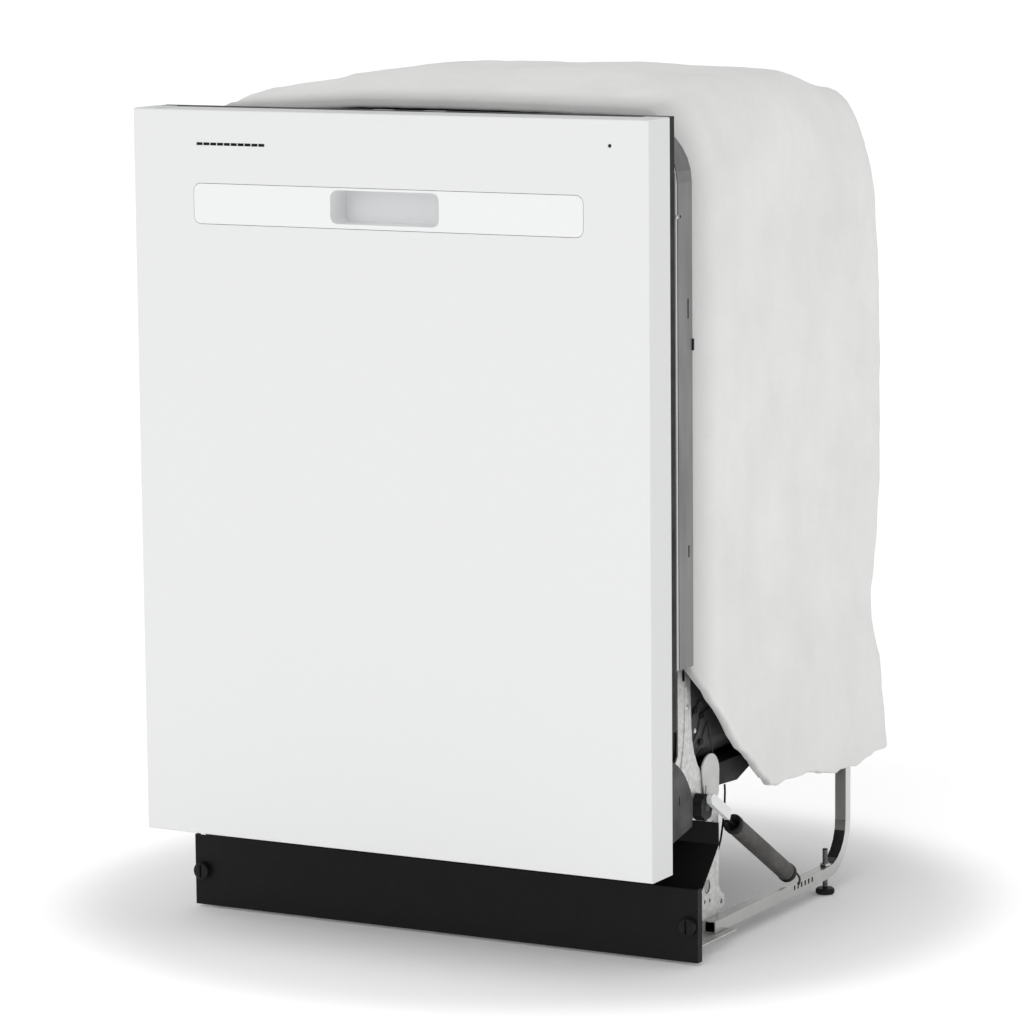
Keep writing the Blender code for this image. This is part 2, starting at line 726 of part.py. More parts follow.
def make_rail(side_name, side):
    """A square steel tube: a runner along the floor, a bend and a leg up beside the tub."""
    x = side * RAIL_X
    stations = [((RAIL_FRONT, RAIL_Z), (0.0, -1.0))]
    centre = (RAIL_BEND_START, RAIL_Z + RAIL_BEND_RADIUS)
    steps = 6
    for i in range(steps + 1):
        angle = math.radians(-90 + 90 * i / steps)
        out = (math.cos(angle), math.sin(angle))
        stations.append(((centre[0] + RAIL_BEND_RADIUS * out[0],
                          centre[1] + RAIL_BEND_RADIUS * out[1]), out))
    stations.append(((centre[0] + RAIL_BEND_RADIUS, RAIL_TOP), (1.0, 0.0)))
    rings = []
    for half in (RAIL_WIDTH / 2, RAIL_WIDTH / 2 - RAIL_WALL):
        rings.append([])
        for (depth, z), out in stations:
            ring = []
            for across, along in ((-half, -half), (half, -half), (half, half), (-half, half)):
                ring.append(behind(x + across, depth + along * out[0], z + along * out[1]))
            rings[-1].append(ring)
    bm = bmesh.new()
    skins = [[[bm.verts.new(p) for p in ring] for ring in skin] for skin in rings]
    for skin in skins:
        for row, after in zip(skin, skin[1:]):
            for i in range(4):
                j = (i + 1) % 4
                bm.faces.new((row[i], row[j], after[j], after[i]))
    for end in (0, -1):
        for i in range(4):
            j = (i + 1) % 4
            bm.faces.new((skins[0][end][i], skins[0][end][j],
                          skins[1][end][j], skins[1][end][i]))
    rail = mesh_object(f"rail_{side_name}", bm, BRIGHT_STEEL)
    stud_hole = cylinder(f"rail_stud_hole_{side_name}", behind(x, FOOT_REAR, RAIL_Z), 0.0034,
                         0.04, ABOUT_Z, None, 16, CUTTERS)
    cut(rail, stud_hole)
    notches = []
    span = sorted((x, x + side * 0.02))
    for i in range(6):
        start = 0.358 + 0.009 * i
        notches.append((span, (start, start + 0.0035), (RAIL_Z - 0.001, RAIL_Z + 0.0045)))
    cut(rail, merged_cutter(f"rail_notches_{side_name}", notches))


def make_bracket(side_name, side):
    """The plate that carries the hinge, the roller and the front end of the rail."""
    tab = (0.206, 0.043)
    outline = arc((PIVOT_DEPTH, PIVOT_Z), 0.0095, 150, 270, 4)
    outline += [(0.088, 0.171), (0.128, 0.171), (0.131, 0.150), (0.139, 0.144),
                (0.1535, 0.140), (0.1535, 0.115), (0.1165, 0.075), (0.1165, 0.016),
                (0.198, 0.016), (0.200, 0.034)]
    outline += arc(tab, 0.009, -60, 90, 5)
    outline += [(0.200, 0.062), (0.201, 0.104), (0.199, 0.150)]
    outline += arc((0.212, 0.242), 0.075, 240, 180, 5)
    outline += [(0.134, 0.3100), (0.106, 0.3100), (0.106, 0.215), (0.090, 0.197)]
    holes = [circle((0.173, 0.065), 0.0075), circle((0.167, 0.050), 0.0022, 10),
             circle((0.179, 0.049), 0.0022, 10), circle(tab, 0.0028, 10),
             rounded_rect((0.116, 0.124), (0.290, 0.303), 0.0038, 3)]
    x = [side * value for value in BRACKET_X]
    bracket = as_mesh(side_plate(f"bracket_{side_name}", outline, x, GALVANISED, holes))
    inner = side * (BRACKET_X[0] + 0.0004)
    for label, (depth, z), radius, reach in (("hinge", (PIVOT_DEPTH, PIVOT_Z), 0.0040, 0.2850),
                                             ("roller", ROLLER_CENTRE, 0.0030, 0.2883)):
        outer = side * reach
        pin = cylinder(f"{label}_pin_{side_name}", behind((inner + outer) / 2, depth, z), radius,
                       abs(outer - inner), ABOUT_X, None, 16, CUTTERS)
        join(bracket, pin)
    foot_x = sorted((inner, side * 0.2985))
    shelf = block(f"bracket_shelf_{side_name}", foot_x, (0.108, 0.197), (0.0158, 0.0174), None,
                  0.0, CUTTERS)
    join(bracket, shelf)
    hole = cylinder(f"shelf_hole_{side_name}", behind(side * RAIL_X, FOOT_FRONT, 0.0166), 0.0034,
                    0.01, ABOUT_Z, None, 16, CUTTERS)
    cut(bracket, hole)


def make_roller(side_name, side):
    """A ribbed roller that turns as the spring's strap runs over it."""
    lobes, steps = 7, 42
    outline = []
    for i in range(steps):
        angle = 2 * math.pi * i / steps
        radius = ROLLER_RADIUS - 0.0016 * (1 - math.cos(lobes * angle)) / 2
        outline.append((radius * math.cos(angle), radius * math.sin(angle)))
    low, high = 0.2771, 0.2885
    middle = behind(side * (low + high) / 2, *ROLLER_CENTRE)
    plate(f"spring_roller_{side_name}", outline, ABOUT_X, middle, high - low, BLACK_PLASTIC,
          [circle((0.0, 0.0), 0.0033, 12)])


def spring_frame():
    """Direction along the spring, downwards and back, and the way up from it, in (depth, z)."""
    run = Vector((SLEEVE_BOTTOM[0] - SLEEVE_TOP[0], SLEEVE_BOTTOM[1] - SLEEVE_TOP[1]))
    along = run.normalized()
    return along, Vector((-along.y, along.x)), run.length


def on_spring(side, along_axis):
    """A point on the spring's axis, measured from the sleeve's mouth."""
    along, _, _ = spring_frame()
    return behind(side * SPRING_X, SLEEVE_TOP[0] + along.x * along_axis,
                  SLEEVE_TOP[1] + along.y * along_axis)


def make_spring(side_name, side):
    along, _, length = spring_frame()
    tilt = Vector((0.0, along.x, along.y)).to_track_quat("Z", "Y").to_matrix().to_4x4()
    wall = 0.0016
    inner = SLEEVE_RADIUS - wall
    profile = [(inner, length), (SLEEVE_RADIUS, length), (SLEEVE_RADIUS, 0.0), (inner, 0.0),
               (inner, length)]
    turned(f"spring_sleeve_{side_name}", profile, on_spring(side, 0.0), tilt, SLEEVE_TAUPE)
    marks = [(0.0015, 0.2), (0.014, 0.2), (0.016, 1.0), (length - 0.016, 1.0),
             (length - 0.014, 0.2), (length + 0.006, 0.2)]
    route = [on_spring(side, mark) for mark, _ in marks]
    tube(f"door_spring_{side_name}", route, 0.0060, DARK_STEEL, 2, [size for _, size in marks])


def make_link(side_name, side):
    """The white strap end that the hinge arm pulls along the spring's axis."""
    along, up, _ = spring_frame()
    half, start, end = 0.0058, -0.081, -0.028
    corners = [(start + 0.004, -half), (end, -half), (end, half), (start + 0.004, half),
               (start, half - 0.004), (start, 0.004 - half)]
    outline = []
    for run, rise in corners:
        outline.append((SLEEVE_TOP[0] + along.x * run + up.x * rise,
                        SLEEVE_TOP[1] + along.y * run + up.y * rise))
    x = [side * 0.2889, side * 0.2945]
    side_plate(f"spring_link_{side_name}", outline, x, WHITE_PLASTIC)


def make_foot(place, side_name, side, depth):
    """A levelling foot: a disc on a threaded stud."""
    stud, pad = FOOT_STUD[place], FOOT_PAD[place]
    profile = [(0.0, stud), (0.0028, stud), (0.0028, 0.0065), (pad - 0.001, 0.0065),
               (pad, 0.0055), (pad, 0.0008), (pad - 0.001, 0.0), (0.0, 0.0)]
    turned(f"foot_{place}_{side_name}", profile, behind(side * RAIL_X, depth, 0.0), ABOUT_Z,
           BLACK_PLASTIC)


# ------------------------------------------------------------------ toe kick

def make_toe_panel():
    """The lower panel: a front sheet with its ends folded back."""
    fold = 0.010
    plan = [(-TOE_HALF, TOE_DEPTH + fold), (-TOE_HALF, TOE_DEPTH), (TOE_HALF, TOE_DEPTH),
            (TOE_HALF, TOE_DEPTH + fold)]
    inner = TOE_HALF - SHEET
    back = TOE_DEPTH + SHEET
    plan += [(inner, TOE_DEPTH + fold), (inner, back), (-inner, back),
             (-inner, TOE_DEPTH + fold)]
    middle = behind(0.0, 0.0, (TOE_Z[0] + TOE_Z[1]) / 2)
    panel = as_mesh(plate("toe_panel", plan, ABOUT_Z, middle, TOE_Z[1] - TOE_Z[0], BLACK_PAINT))
    for side in (-1, 1):
        hole = cylinder(f"knob_hole_{side}", behind(side * KNOB_X, TOE_DEPTH, KNOB_Z), 0.0050,
                        0.02, ABOUT_Y, None, 16, CUTTERS)
        cut(panel, hole)


def make_toe_knob(side_name, side):
    """A quarter-turn fastener: a round head with a slot and a short shank."""
    head, front, shank = 0.0092, 0.0075, 0.0070
    profile = [(0.0, front), (head - 0.001, front), (head, front - 0.001), (head, GAP),
               (0.0046, GAP), (0.0046, -shank), (0.0, -shank)]
    knob = turned(f"toe_knob_{side_name}", profile, behind(side * KNOB_X, TOE_DEPTH, KNOB_Z),
                  ABOUT_Y, BLACK_PLASTIC)
    slot = merged_cutter(f"knob_slot_{side_name}",
                         [((side * KNOB_X - 0.0012, side * KNOB_X + 0.0012),
                           (TOE_DEPTH - front - 0.01, TOE_DEPTH - front + 0.0025),
                           (KNOB_Z - 0.0072, KNOB_Z + 0.0072))])
    cut(knob, slot)


def make_access_panel():
    """The folded sheet above the toe panel, shaped to clear the door's lower edge."""
    face = [(0.1110, 0.0740), (0.1520, 0.1160), (0.1520, 0.1390)]
    back = [(0.1530, 0.1390), (0.1530, 0.1156), (0.1120, 0.0736)]
    side_plate("access_panel", face + back, (-0.300, 0.300), BLACK_PAINT)


def make_cross_member():
    """The angle between the brackets that carries the junction box."""
    outline = [(0.160, 0.0180), (0.200, 0.0180), (0.200, 0.0195), (0.1615, 0.0195),
               (0.1615, 0.0290), (0.160, 0.0290)]
    side_plate("cross_member", outline, (-0.2748, 0.2748), GALVANISED)


# -------------------------------------------------------------------- blanket

def make_blanket():
    """The fibre batt over the tub: an inverted U with a back, its lower edges cut on a slant."""
    batt = make_batt()
    inner = BLANKET_HALF - BLANKET_THICK
    mouth = rounded_rect((-inner, inner), (-0.05, TUB_TOP + 0.0080), TUB_CORNER)
    depth = (0.0, DEPTH - BLANKET_THICK)
    cut(batt, as_mesh(front_plate("blanket_hollow", mouth, depth, None, (), CUTTERS)))
    below = [(0.0, -0.1), (0.0, 0.380), (0.0985, 0.3110), (0.1400, 0.2600), (0.1810, 0.2210),
             (0.2580, 0.1590), (0.3400, 0.1490), (0.62, 0.1500), (0.62, -0.1)]
    cut(batt, as_mesh(side_plate("blanket_edge", below, (-0.4, 0.4), None, (), CUTTERS)))


def make_batt():
    """The blanket's outer form: a crowned arch that falls away towards the back."""
    shoulder = BLANKET_TOP - 0.026
    corner = 0.075
    outline = [(BLANKET_HALF, 0.05)]
    outline += arc((BLANKET_HALF - corner, shoulder - corner), corner, 0, 68, 6)
    for share in (0.60, 0.35, 0.0, -0.35, -0.60):
        drop = (BLANKET_TOP - shoulder) * abs(share) ** 3 * 1.6
        outline.append((share * BLANKET_HALF, BLANKET_TOP - drop))
    outline += [(-x, z) for x, z in reversed(outline[1:8])]
    outline += [(-BLANKET_HALF, 0.05)]
    rings = []
    for depth, fall, draw in ((BLANKET_FRONT, 0.012, 0.002), (BLANKET_FRONT + 0.10, 0.0, 0.0),
                              (DEPTH - 0.09, 0.004, 0.0), (DEPTH - 0.03, 0.018, 0.002),
                              (DEPTH, 0.050, 0.012)):
        narrow = (BLANKET_HALF - draw) / BLANKET_HALF
        rings.append([behind(x * narrow, depth, z - fall * (z / BLANKET_TOP) ** 6)
                      for x, z in outline])
    return loft("insulation_blanket", rings, FIBRE)


# --------------------------------------------------------------------- wiring

def make_harness():
    """A lead that drops from the tray's edge and runs behind the bracket to the box."""
    route = [(0.2735, 0.2215, 0.1640), (0.2735, 0.2222, 0.1560), (0.2733, 0.2218, 0.1440),
             (0.2728, 0.2205, 0.1310), (0.2722, 0.2185, 0.1180), (0.2714, 0.2160, 0.1060),
             (0.2700, 0.2125, 0.0950), (0.2672, 0.2085, 0.0860), (0.2625, 0.2045, 0.0790),
             (0.2560, 0.2010, 0.0735), (0.2480, 0.1985, 0.0695), (0.2390, 0.1970, 0.0670),
             (0.2295, 0.1965, 0.0660), (0.2203, 0.1965, 0.0660)]
    tube("harness_lead", [behind(*place) for place in route], 0.0011, BLACK_PLASTIC)


def make_chassis():
    make_tub()
    make_collar()
    make_gasket()
    make_under_tray()
    make_sump_and_filter()
    make_pumps()
    make_wash_system()
    make_rack("lower_rack", LOWER_RACK_Z)
    make_rack("upper_rack", UPPER_RACK_Z)
    make_basket()
    for side_name, side in SIDES:
        make_rail(side_name, side)
        make_bracket(side_name, side)
        make_roller(side_name, side)
        make_spring(side_name, side)
        make_link(side_name, side)
        make_foot("front", side_name, side, FOOT_FRONT)
        make_foot("rear", side_name, side, FOOT_REAR)
        make_toe_knob(side_name, side)
    make_toe_panel()
    make_access_panel()
    make_cross_member()
    make_blanket()
    make_harness()


make_door()
make_chassis()
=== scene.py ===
"""The look of a built-in dishwasher: materials, fibre blanket, small parts, light and camera."""
import json
import math

import bmesh
import bpy
from mathutils import Matrix, Vector, noise


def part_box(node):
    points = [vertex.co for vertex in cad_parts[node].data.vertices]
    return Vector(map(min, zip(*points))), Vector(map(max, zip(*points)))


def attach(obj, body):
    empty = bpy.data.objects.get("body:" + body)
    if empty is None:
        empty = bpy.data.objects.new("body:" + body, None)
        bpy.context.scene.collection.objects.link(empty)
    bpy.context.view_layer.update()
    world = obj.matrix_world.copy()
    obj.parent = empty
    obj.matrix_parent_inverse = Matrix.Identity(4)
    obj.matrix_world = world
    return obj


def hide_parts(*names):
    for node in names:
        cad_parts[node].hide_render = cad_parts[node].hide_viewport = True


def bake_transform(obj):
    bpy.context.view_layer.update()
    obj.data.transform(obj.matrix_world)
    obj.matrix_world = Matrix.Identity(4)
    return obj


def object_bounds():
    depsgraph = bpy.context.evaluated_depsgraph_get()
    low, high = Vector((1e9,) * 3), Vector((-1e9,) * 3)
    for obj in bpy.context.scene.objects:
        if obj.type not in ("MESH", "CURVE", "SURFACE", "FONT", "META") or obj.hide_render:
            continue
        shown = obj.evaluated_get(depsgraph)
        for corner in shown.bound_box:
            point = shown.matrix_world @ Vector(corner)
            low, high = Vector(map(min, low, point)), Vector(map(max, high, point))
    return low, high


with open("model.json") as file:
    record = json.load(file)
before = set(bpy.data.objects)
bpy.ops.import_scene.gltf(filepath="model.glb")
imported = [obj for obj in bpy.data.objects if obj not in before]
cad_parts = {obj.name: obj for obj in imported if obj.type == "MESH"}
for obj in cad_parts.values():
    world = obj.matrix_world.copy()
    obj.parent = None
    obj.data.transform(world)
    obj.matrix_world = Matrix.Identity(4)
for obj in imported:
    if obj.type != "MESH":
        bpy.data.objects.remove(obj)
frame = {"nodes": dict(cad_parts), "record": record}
CAD_BOX = [list(corner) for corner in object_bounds()]


def corners(node):
    """Lowest and highest corner of a CAD node at rest."""
    low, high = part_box(node)
    return Vector(low), Vector(high)


LOW, HIGH = (Vector(corner) for corner in CAD_BOX)
FRONT_Y = LOW.y
DEPTH = HIGH.y - LOW.y
TUB_SIDE = corners("tub")[1].x
COLLAR_LOW, COLLAR_HIGH = corners("tub_collar")
DOOR_LOW, DOOR_HIGH = corners("door_panel")
SIDES = (("left", -1), ("right", 1))

# Lathes and slabs are made along Z; these turns point them to the right or to the front.
FACING_RIGHT = Matrix(((0, 0, 1), (1, 0, 0), (0, 1, 0))).to_4x4()
FACING_FRONT = Matrix(((1, 0, 0), (0, 0, -1), (0, 1, 0))).to_4x4()


def behind(x, depth, z):
    """Point at x, the given depth behind the door's face, and height z."""
    return Vector((x, FRONT_Y + depth, z))


def middle_of(node):
    """Centre of a CAD node's box at rest."""
    low, high = corners(node)
    return (low + high) / 2


# ---------------------------------------------------------------------- camera

CAMERA_PLACE = behind(2.316, -3.997, 1.145)
CAMERA_YAW = math.radians(28.52)
CAMERA_PITCH = math.radians(8.40)
CAMERA_ROLL = math.radians(-0.53)
CAMERA_LENS = 160.66
CAMERA_SENSOR = 36.0


def make_camera():
    """A long lens to the right of the door, a little higher than the machine."""
    data = bpy.data.cameras.new("camera")
    data.lens = CAMERA_LENS
    data.sensor_width = CAMERA_SENSOR
    camera = bpy.data.objects.new("camera", data)
    bpy.context.scene.collection.objects.link(camera)
    turn = Matrix.Rotation(CAMERA_YAW, 4, "Z")
    tilt = Matrix.Rotation(math.radians(90) - CAMERA_PITCH, 4, "X")
    roll = Matrix.Rotation(CAMERA_ROLL, 4, "Z")
    camera.matrix_world = Matrix.Translation(CAMERA_PLACE) @ turn @ tilt @ roll
    bpy.context.scene.camera = camera


# ------------------------------------------------------------------- materials

class Finish:
    """A Principled material built up with object-space patterns."""

    def __init__(self, name, colour, roughness, metallic=0.0):
        self.mat = bpy.data.materials.new(name)
        self.mat.use_nodes = True
        self.tree = self.mat.node_tree
        self.shader = self.tree.nodes["Principled BSDF"]
        self.colour = colour
        self.set("Base Color", (*colour, 1.0))
        self.set("Roughness", roughness)
        self.set("Metallic", metallic)
        self.place = self.tree.nodes.new("ShaderNodeTexCoord").outputs["Object"]
        self.normal = None

    def set(self, socket, value):
        """A fixed value on one of the shader's sockets."""
        self.shader.inputs[socket].default_value = value

    def node(self, kind, **inputs):
        """A new node with fixed inputs, whose names have underscores for spaces."""
        node = self.tree.nodes.new(kind)
        for name, value in inputs.items():
            node.inputs[name.replace("_", " ")].default_value = value
        return node

    def link(self, source, target):
        """Join an output to an input."""
        self.tree.links.new(source, target)

    def stretched(self, scale):
        """Object coordinates scaled along each axis."""
        mapping = self.node("ShaderNodeMapping", Scale=scale)
        self.link(self.place, mapping.inputs["Vector"])
        return mapping.outputs["Vector"]

    def noise(self, scale, detail=3.0, stretch=None, rough=0.5):
        """Cloudy pattern from 0 to 1."""
        texture = self.node("ShaderNodeTexNoise", Scale=scale, Detail=detail, Roughness=rough)
        self.link(self.stretched(stretch) if stretch else self.place, texture.inputs["Vector"])
        return texture.outputs["Fac"]

    def cells(self, scale, output="Color"):
        """Cell pattern: one random colour in each cell, or the distance from its middle."""
        texture = self.node("ShaderNodeTexVoronoi", Scale=scale)
        self.link(self.place, texture.inputs["Vector"])
        return texture.outputs[output]

    def ramp(self, source, low, high, start=0.3, end=0.7):
        """Two colours or two greys between two values of the pattern."""
        ramp = self.tree.nodes.new("ShaderNodeValToRGB")
        ends = ramp.color_ramp.elements
        ends[0].position, ends[1].position = start, end
        ends[0].color = (*low, 1.0) if isinstance(low, tuple) else (low, low, low, 1.0)
        ends[1].color = (*high, 1.0) if isinstance(high, tuple) else (high, high, high, 1.0)
        self.link(source, ramp.inputs["Fac"])
        return ramp.outputs["Color"]

    def tint(self, source, dark, light=1.0, start=0.3, end=0.7):
        """The base colour times a factor that goes from dark to light with the pattern."""
        low = tuple(channel * dark for channel in self.colour)
        high = tuple(min(1.0, channel * light) for channel in self.colour)
        self.link(self.ramp(source, low, high, start, end), self.shader.inputs["Base Color"])
        return self

    def wear(self, source, low, high, start=0.3, end=0.7):
        """Roughness from low to high with the pattern."""
        self.link(self.ramp(source, low, high, start, end), self.shader.inputs["Roughness"])
        return self

    def bump(self, source, height, strength=1.0):
        """Relief of the given height in metres; several are stacked."""
        bump = self.node("ShaderNodeBump", Strength=strength, Distance=height)
        self.link(source, bump.inputs["Height"])
        if self.normal is not None:
            self.link(self.normal, bump.inputs["Normal"])
        self.normal = bump.outputs["Normal"]
        self.link(self.normal, self.shader.inputs["Normal"])
        return self


def white_enamel():
    """Smooth enamel on the door's outer sheet."""
    f = Finish("white_enamel", (0.785, 0.79, 0.79), 0.34)
    f.tint(f.noise(300.0, 2.0), 0.992, 1.0)
    f.wear(f.noise(60.0, 4.0), 0.31, 0.36)
    f.bump(f.noise(420.0, 2.0), 0.00003, 0.4)
    f.set("Coat Weight", 0.15)
    f.set("Coat Roughness", 0.22)
    return f.mat


def white_plastic():
    """Fine-grained white moulding."""
    f = Finish("white_plastic", (0.845, 0.85, 0.855), 0.40)
    f.tint(f.noise(250.0, 2.0), 0.99, 1.0)
    f.wear(f.noise(90.0, 3.0), 0.37, 0.44)
    f.bump(f.noise(1500.0, 2.0), 0.00002, 0.5)
    return f.mat


def black_plastic():
    """Satin black moulding with uneven gloss."""
    f = Finish("black_plastic", (0.015, 0.015, 0.016), 0.45)
    f.tint(f.noise(40.0, 4.0), 0.75, 1.35)
    f.wear(f.noise(60.0, 4.0), 0.38, 0.56)
    f.bump(f.noise(1800.0, 2.0), 0.00003, 0.6)
    f.set("Specular IOR Level", 0.12)
    return f.mat


def black_paint():
    """Deep black satin paint."""
    f = Finish("black_paint", (0.0082, 0.0082, 0.0086), 0.46)
    f.tint(f.noise(120.0, 3.0), 0.92, 1.1)
    f.wear(f.noise(30.0, 5.0), 0.42, 0.52)
    f.bump(f.noise(900.0, 3.0), 0.00003, 0.6)
    f.set("Specular IOR Level", 0.15)
    return f.mat


def galvanised_steel():
    """Zinc coat with a dull spangle."""
    f = Finish("galvanised_steel", (0.67, 0.67, 0.66), 0.44, 0.80)
    f.tint(f.cells(260.0, "Color"), 0.86, 1.06, 0.2, 0.8)
    f.wear(f.noise(80.0, 5.0), 0.38, 0.58)
    f.bump(f.cells(260.0, "Distance"), 0.00003, 0.35)
    f.bump(f.noise(700.0, 3.0), 0.00003, 0.4)
    return f.mat


def collar_steel_painted_shade():
    """The galvanised sheet around the tub's mouth: even, satin, and darker than the other galvanised
    steel as painted shade from the blanket and door.
    """
    f = Finish("collar_steel_painted_shade", (0.20, 0.20, 0.20), 0.42, 0.75)
    f.tint(f.noise(26.0, 5.0, (1.0, 1.0, 0.25)), 0.82, 1.15)
    f.wear(f.noise(70.0, 4.0, (1.0, 1.0, 0.2)), 0.34, 0.50)
    f.bump(f.noise(500.0, 3.0), 0.00003, 0.4)
    return f.mat


def bright_steel():
    """Bright plated tube and fasteners."""
    f = Finish("bright_steel", (0.56, 0.56, 0.55), 0.23, 1.0)
    f.tint(f.noise(14.0, 4.0), 0.94, 1.04)
    f.wear(f.noise(24.0, 3.0), 0.20, 0.27)
    f.bump(f.noise(160.0, 2.0, (6.0, 0.4, 6.0)), 0.00001, 0.2)
    return f.mat


def dark_steel():
    """Dark phosphated steel."""
    f = Finish("dark_steel", (0.055, 0.055, 0.057), 0.42, 0.6)
    f.tint(f.noise(30.0, 5.0), 0.7, 1.35)
    f.wear(f.noise(45.0, 4.0), 0.34, 0.55)
    f.bump(f.noise(800.0, 3.0), 0.00004, 0.6)
    return f.mat


def stainless_steel():
    """Sheet with a grain across its width."""
    f = Finish("stainless_steel", (0.58, 0.585, 0.59), 0.30, 1.0)
    f.tint(f.noise(3.0, 3.0), 0.93, 1.03)
    f.wear(f.noise(12.0, 5.0, (1.0, 1.0, 60.0)), 0.24, 0.38)
    f.bump(f.noise(25.0, 4.0, (1.0, 1.0, 90.0)), 0.00003, 0.4)
    return f.mat


def tub_grey():
    """Dark grey moulded tub."""
    f = Finish("tub_grey", (0.062, 0.062, 0.064), 0.50)
    f.tint(f.noise(8.0, 4.0), 0.75, 1.25)
    f.wear(f.noise(20.0, 3.0), 0.42, 0.60)
    f.bump(f.noise(600.0, 3.0), 0.00008, 0.5)
    return f.mat


def mastic():
    """Lumpy black damping layer."""
    f = Finish("mastic", (0.012, 0.012, 0.0125), 0.72)
    f.tint(f.noise(25.0, 4.0), 0.7, 1.6)
    f.wear(f.noise(40.0, 3.0), 0.60, 0.85)
    f.bump(f.noise(90.0, 5.0), 0.0006, 0.6)
    return f.mat


def grey_rubber():
    """Matt rubber of seals and leads."""
    f = Finish("grey_rubber", (0.045, 0.045, 0.047), 0.75)
    f.tint(f.noise(30.0, 3.0), 0.8, 1.25)
    f.wear(f.noise(50.0, 3.0), 0.66, 0.84)
    f.bump(f.noise(1200.0, 2.0), 0.00004, 0.5)
    return f.mat


def fibre_batt():
    """Needled felt, with painted shade darkening its front edge behind the collar."""
    edge_start, edge_end, edge_shade = FRONT_Y + 0.103, FRONT_Y + 0.157, 0.70
    f = Finish("fibre_batt", (0.90, 0.90, 0.89), 0.96)
    f.tint(f.noise(9.0, 8.0, (1.0, 1.0, 0.7), 0.62), 0.89, 1.01, 0.28, 0.72)
    f.wear(f.noise(90.0, 3.0), 0.90, 1.0)
    f.bump(f.noise(24.0, 6.0, None, 0.60), 0.0030, 0.30)
    f.bump(f.noise(300.0, 5.0, (1.0, 0.6, 1.4), 0.70), 0.0009, 0.45)
    colour = f.shader.inputs["Base Color"].links[0].from_socket
    split = f.node("ShaderNodeSeparateXYZ")
    f.link(f.place, split.inputs["Vector"])
    # Painted shade: the felt's colour falls to edge_shade towards its front edge, behind the collar.
    painted_shade_ramp = f.node("ShaderNodeMapRange", From_Min=edge_start, From_Max=edge_end,
                      To_Min=edge_shade)
    painted_shade_ramp.interpolation_type = "SMOOTHSTEP"
    f.link(split.outputs["Y"], painted_shade_ramp.inputs["Value"])
    shade = f.tree.nodes.new("ShaderNodeVectorMath")
    shade.operation = "SCALE"
    f.link(colour, shade.inputs["Vector"])
    f.link(painted_shade_ramp.outputs["Result"], shade.inputs["Scale"])
    f.link(shade.outputs["Vector"], f.shader.inputs["Base Color"])
    f.set("Sheen Weight", 0.30)
    f.set("Sheen Roughness", 0.6)
    return f.mat


def grey_nylon():
    """Milky grey moulding."""
    f = Finish("grey_nylon", (0.42, 0.42, 0.415), 0.38)
    f.tint(f.noise(18.0, 3.0), 0.9, 1.06)
    f.wear(f.noise(60.0, 3.0), 0.32, 0.48)
    f.bump(f.noise(900.0, 2.0), 0.00003, 0.5)
    f.set("Subsurface Weight", 0.15)
    f.set("Subsurface Radius", (0.004, 0.004, 0.004))
    return f.mat


def clear_nylon():
    """Pale translucent moulding."""
    f = Finish("clear_nylon", (0.62, 0.62, 0.61), 0.32)
    f.tint(f.noise(40.0, 3.0), 0.88, 1.05)
    f.wear(f.noise(60.0, 3.0), 0.26, 0.40)
    f.bump(f.noise(900.0, 2.0), 0.00003, 0.5)
    f.set("Subsurface Weight", 0.3)
    f.set("Subsurface Radius", (0.005, 0.005, 0.005))
    return f.mat


def spring_sleeve():
    """Rough taupe fibre tube."""
    f = Finish("spring_sleeve", (0.082, 0.077, 0.073), 0.62)
    f.tint(f.noise(60.0, 6.0, None, 0.65), 0.72, 1.25)
    f.wear(f.noise(80.0, 4.0), 0.52, 0.76)
    f.bump(f.noise(500.0, 4.0), 0.0001, 0.6)
    return f.mat


def rack_coating():
    """Grey coat on dipped wire."""
    f = Finish("rack_coating", (0.30, 0.31, 0.33), 0.36)
    f.tint(f.noise(25.0, 3.0), 0.9, 1.1)
    f.wear(f.noise(60.0, 3.0), 0.30, 0.46)
    f.bump(f.noise(500.0, 2.0), 0.00006, 0.5)
    return f.mat


def heater_sheath():
    """Steel tinted by heat."""
    f = Finish("heater_sheath", (0.22, 0.19, 0.165), 0.42, 0.9)
    f.tint(f.noise(14.0, 4.0), 0.6, 1.5)
    f.wear(f.noise(50.0, 3.0), 0.36, 0.60)
    f.bump(f.noise(700.0, 3.0), 0.00005, 0.5)
    return f.mat


MAKERS = (white_enamel, white_plastic, black_plastic, black_paint, galvanised_steel, collar_steel_painted_shade,
          bright_steel, dark_steel, stainless_steel, tub_grey, mastic, grey_rubber, fibre_batt,
          grey_nylon, clear_nylon, spring_sleeve, rack_coating, heater_sheath)
LOOKS = {maker.__name__: maker() for maker in MAKERS}
# The collar's darker copy of galvanised steel is painted shade.
OWN_LOOK = {"tub_collar": "collar_steel_painted_shade"}


def paint_cad():
    """Each CAD node gets the finish of its slot, soft edges and smooth round faces."""
    fine_edge = 0.0004
    smooth_below, bevel_above = math.radians(32), math.radians(50)
    for entry in frame["record"]["subparts"]:
        name = entry["node"]
        node = frame["nodes"][name]
        look = LOOKS[OWN_LOOK.get(name, entry["material_slot"])]
        if not node.material_slots:
            node.data.materials.append(look)
        for place in node.material_slots:
            place.material = look
        node.data.shade_smooth()
        node.data.set_sharp_from_angle(angle=smooth_below)
        edge = node.modifiers.new("soft_edge", "BEVEL")
        edge.width = fine_edge
        edge.segments = 2
        edge.limit_method = "ANGLE"
        edge.angle_limit = bevel_above
        edge.harden_normals = True


# ------------------------------------------------------------------- modelling

def keep(obj, body, slot_name, look=None):
    """Give a new piece its finish and let it ride on a body."""
    obj.data.materials.append(LOOKS[look or slot_name])
    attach(obj, body)
    return obj


def new_object(name, data, place=None):
    """An object in the scene, moved by a matrix if one is given."""
    obj = bpy.data.objects.new(name, data)
    bpy.context.scene.collection.objects.link(obj)
    if place is not None:
        obj.matrix_world = place
    return obj


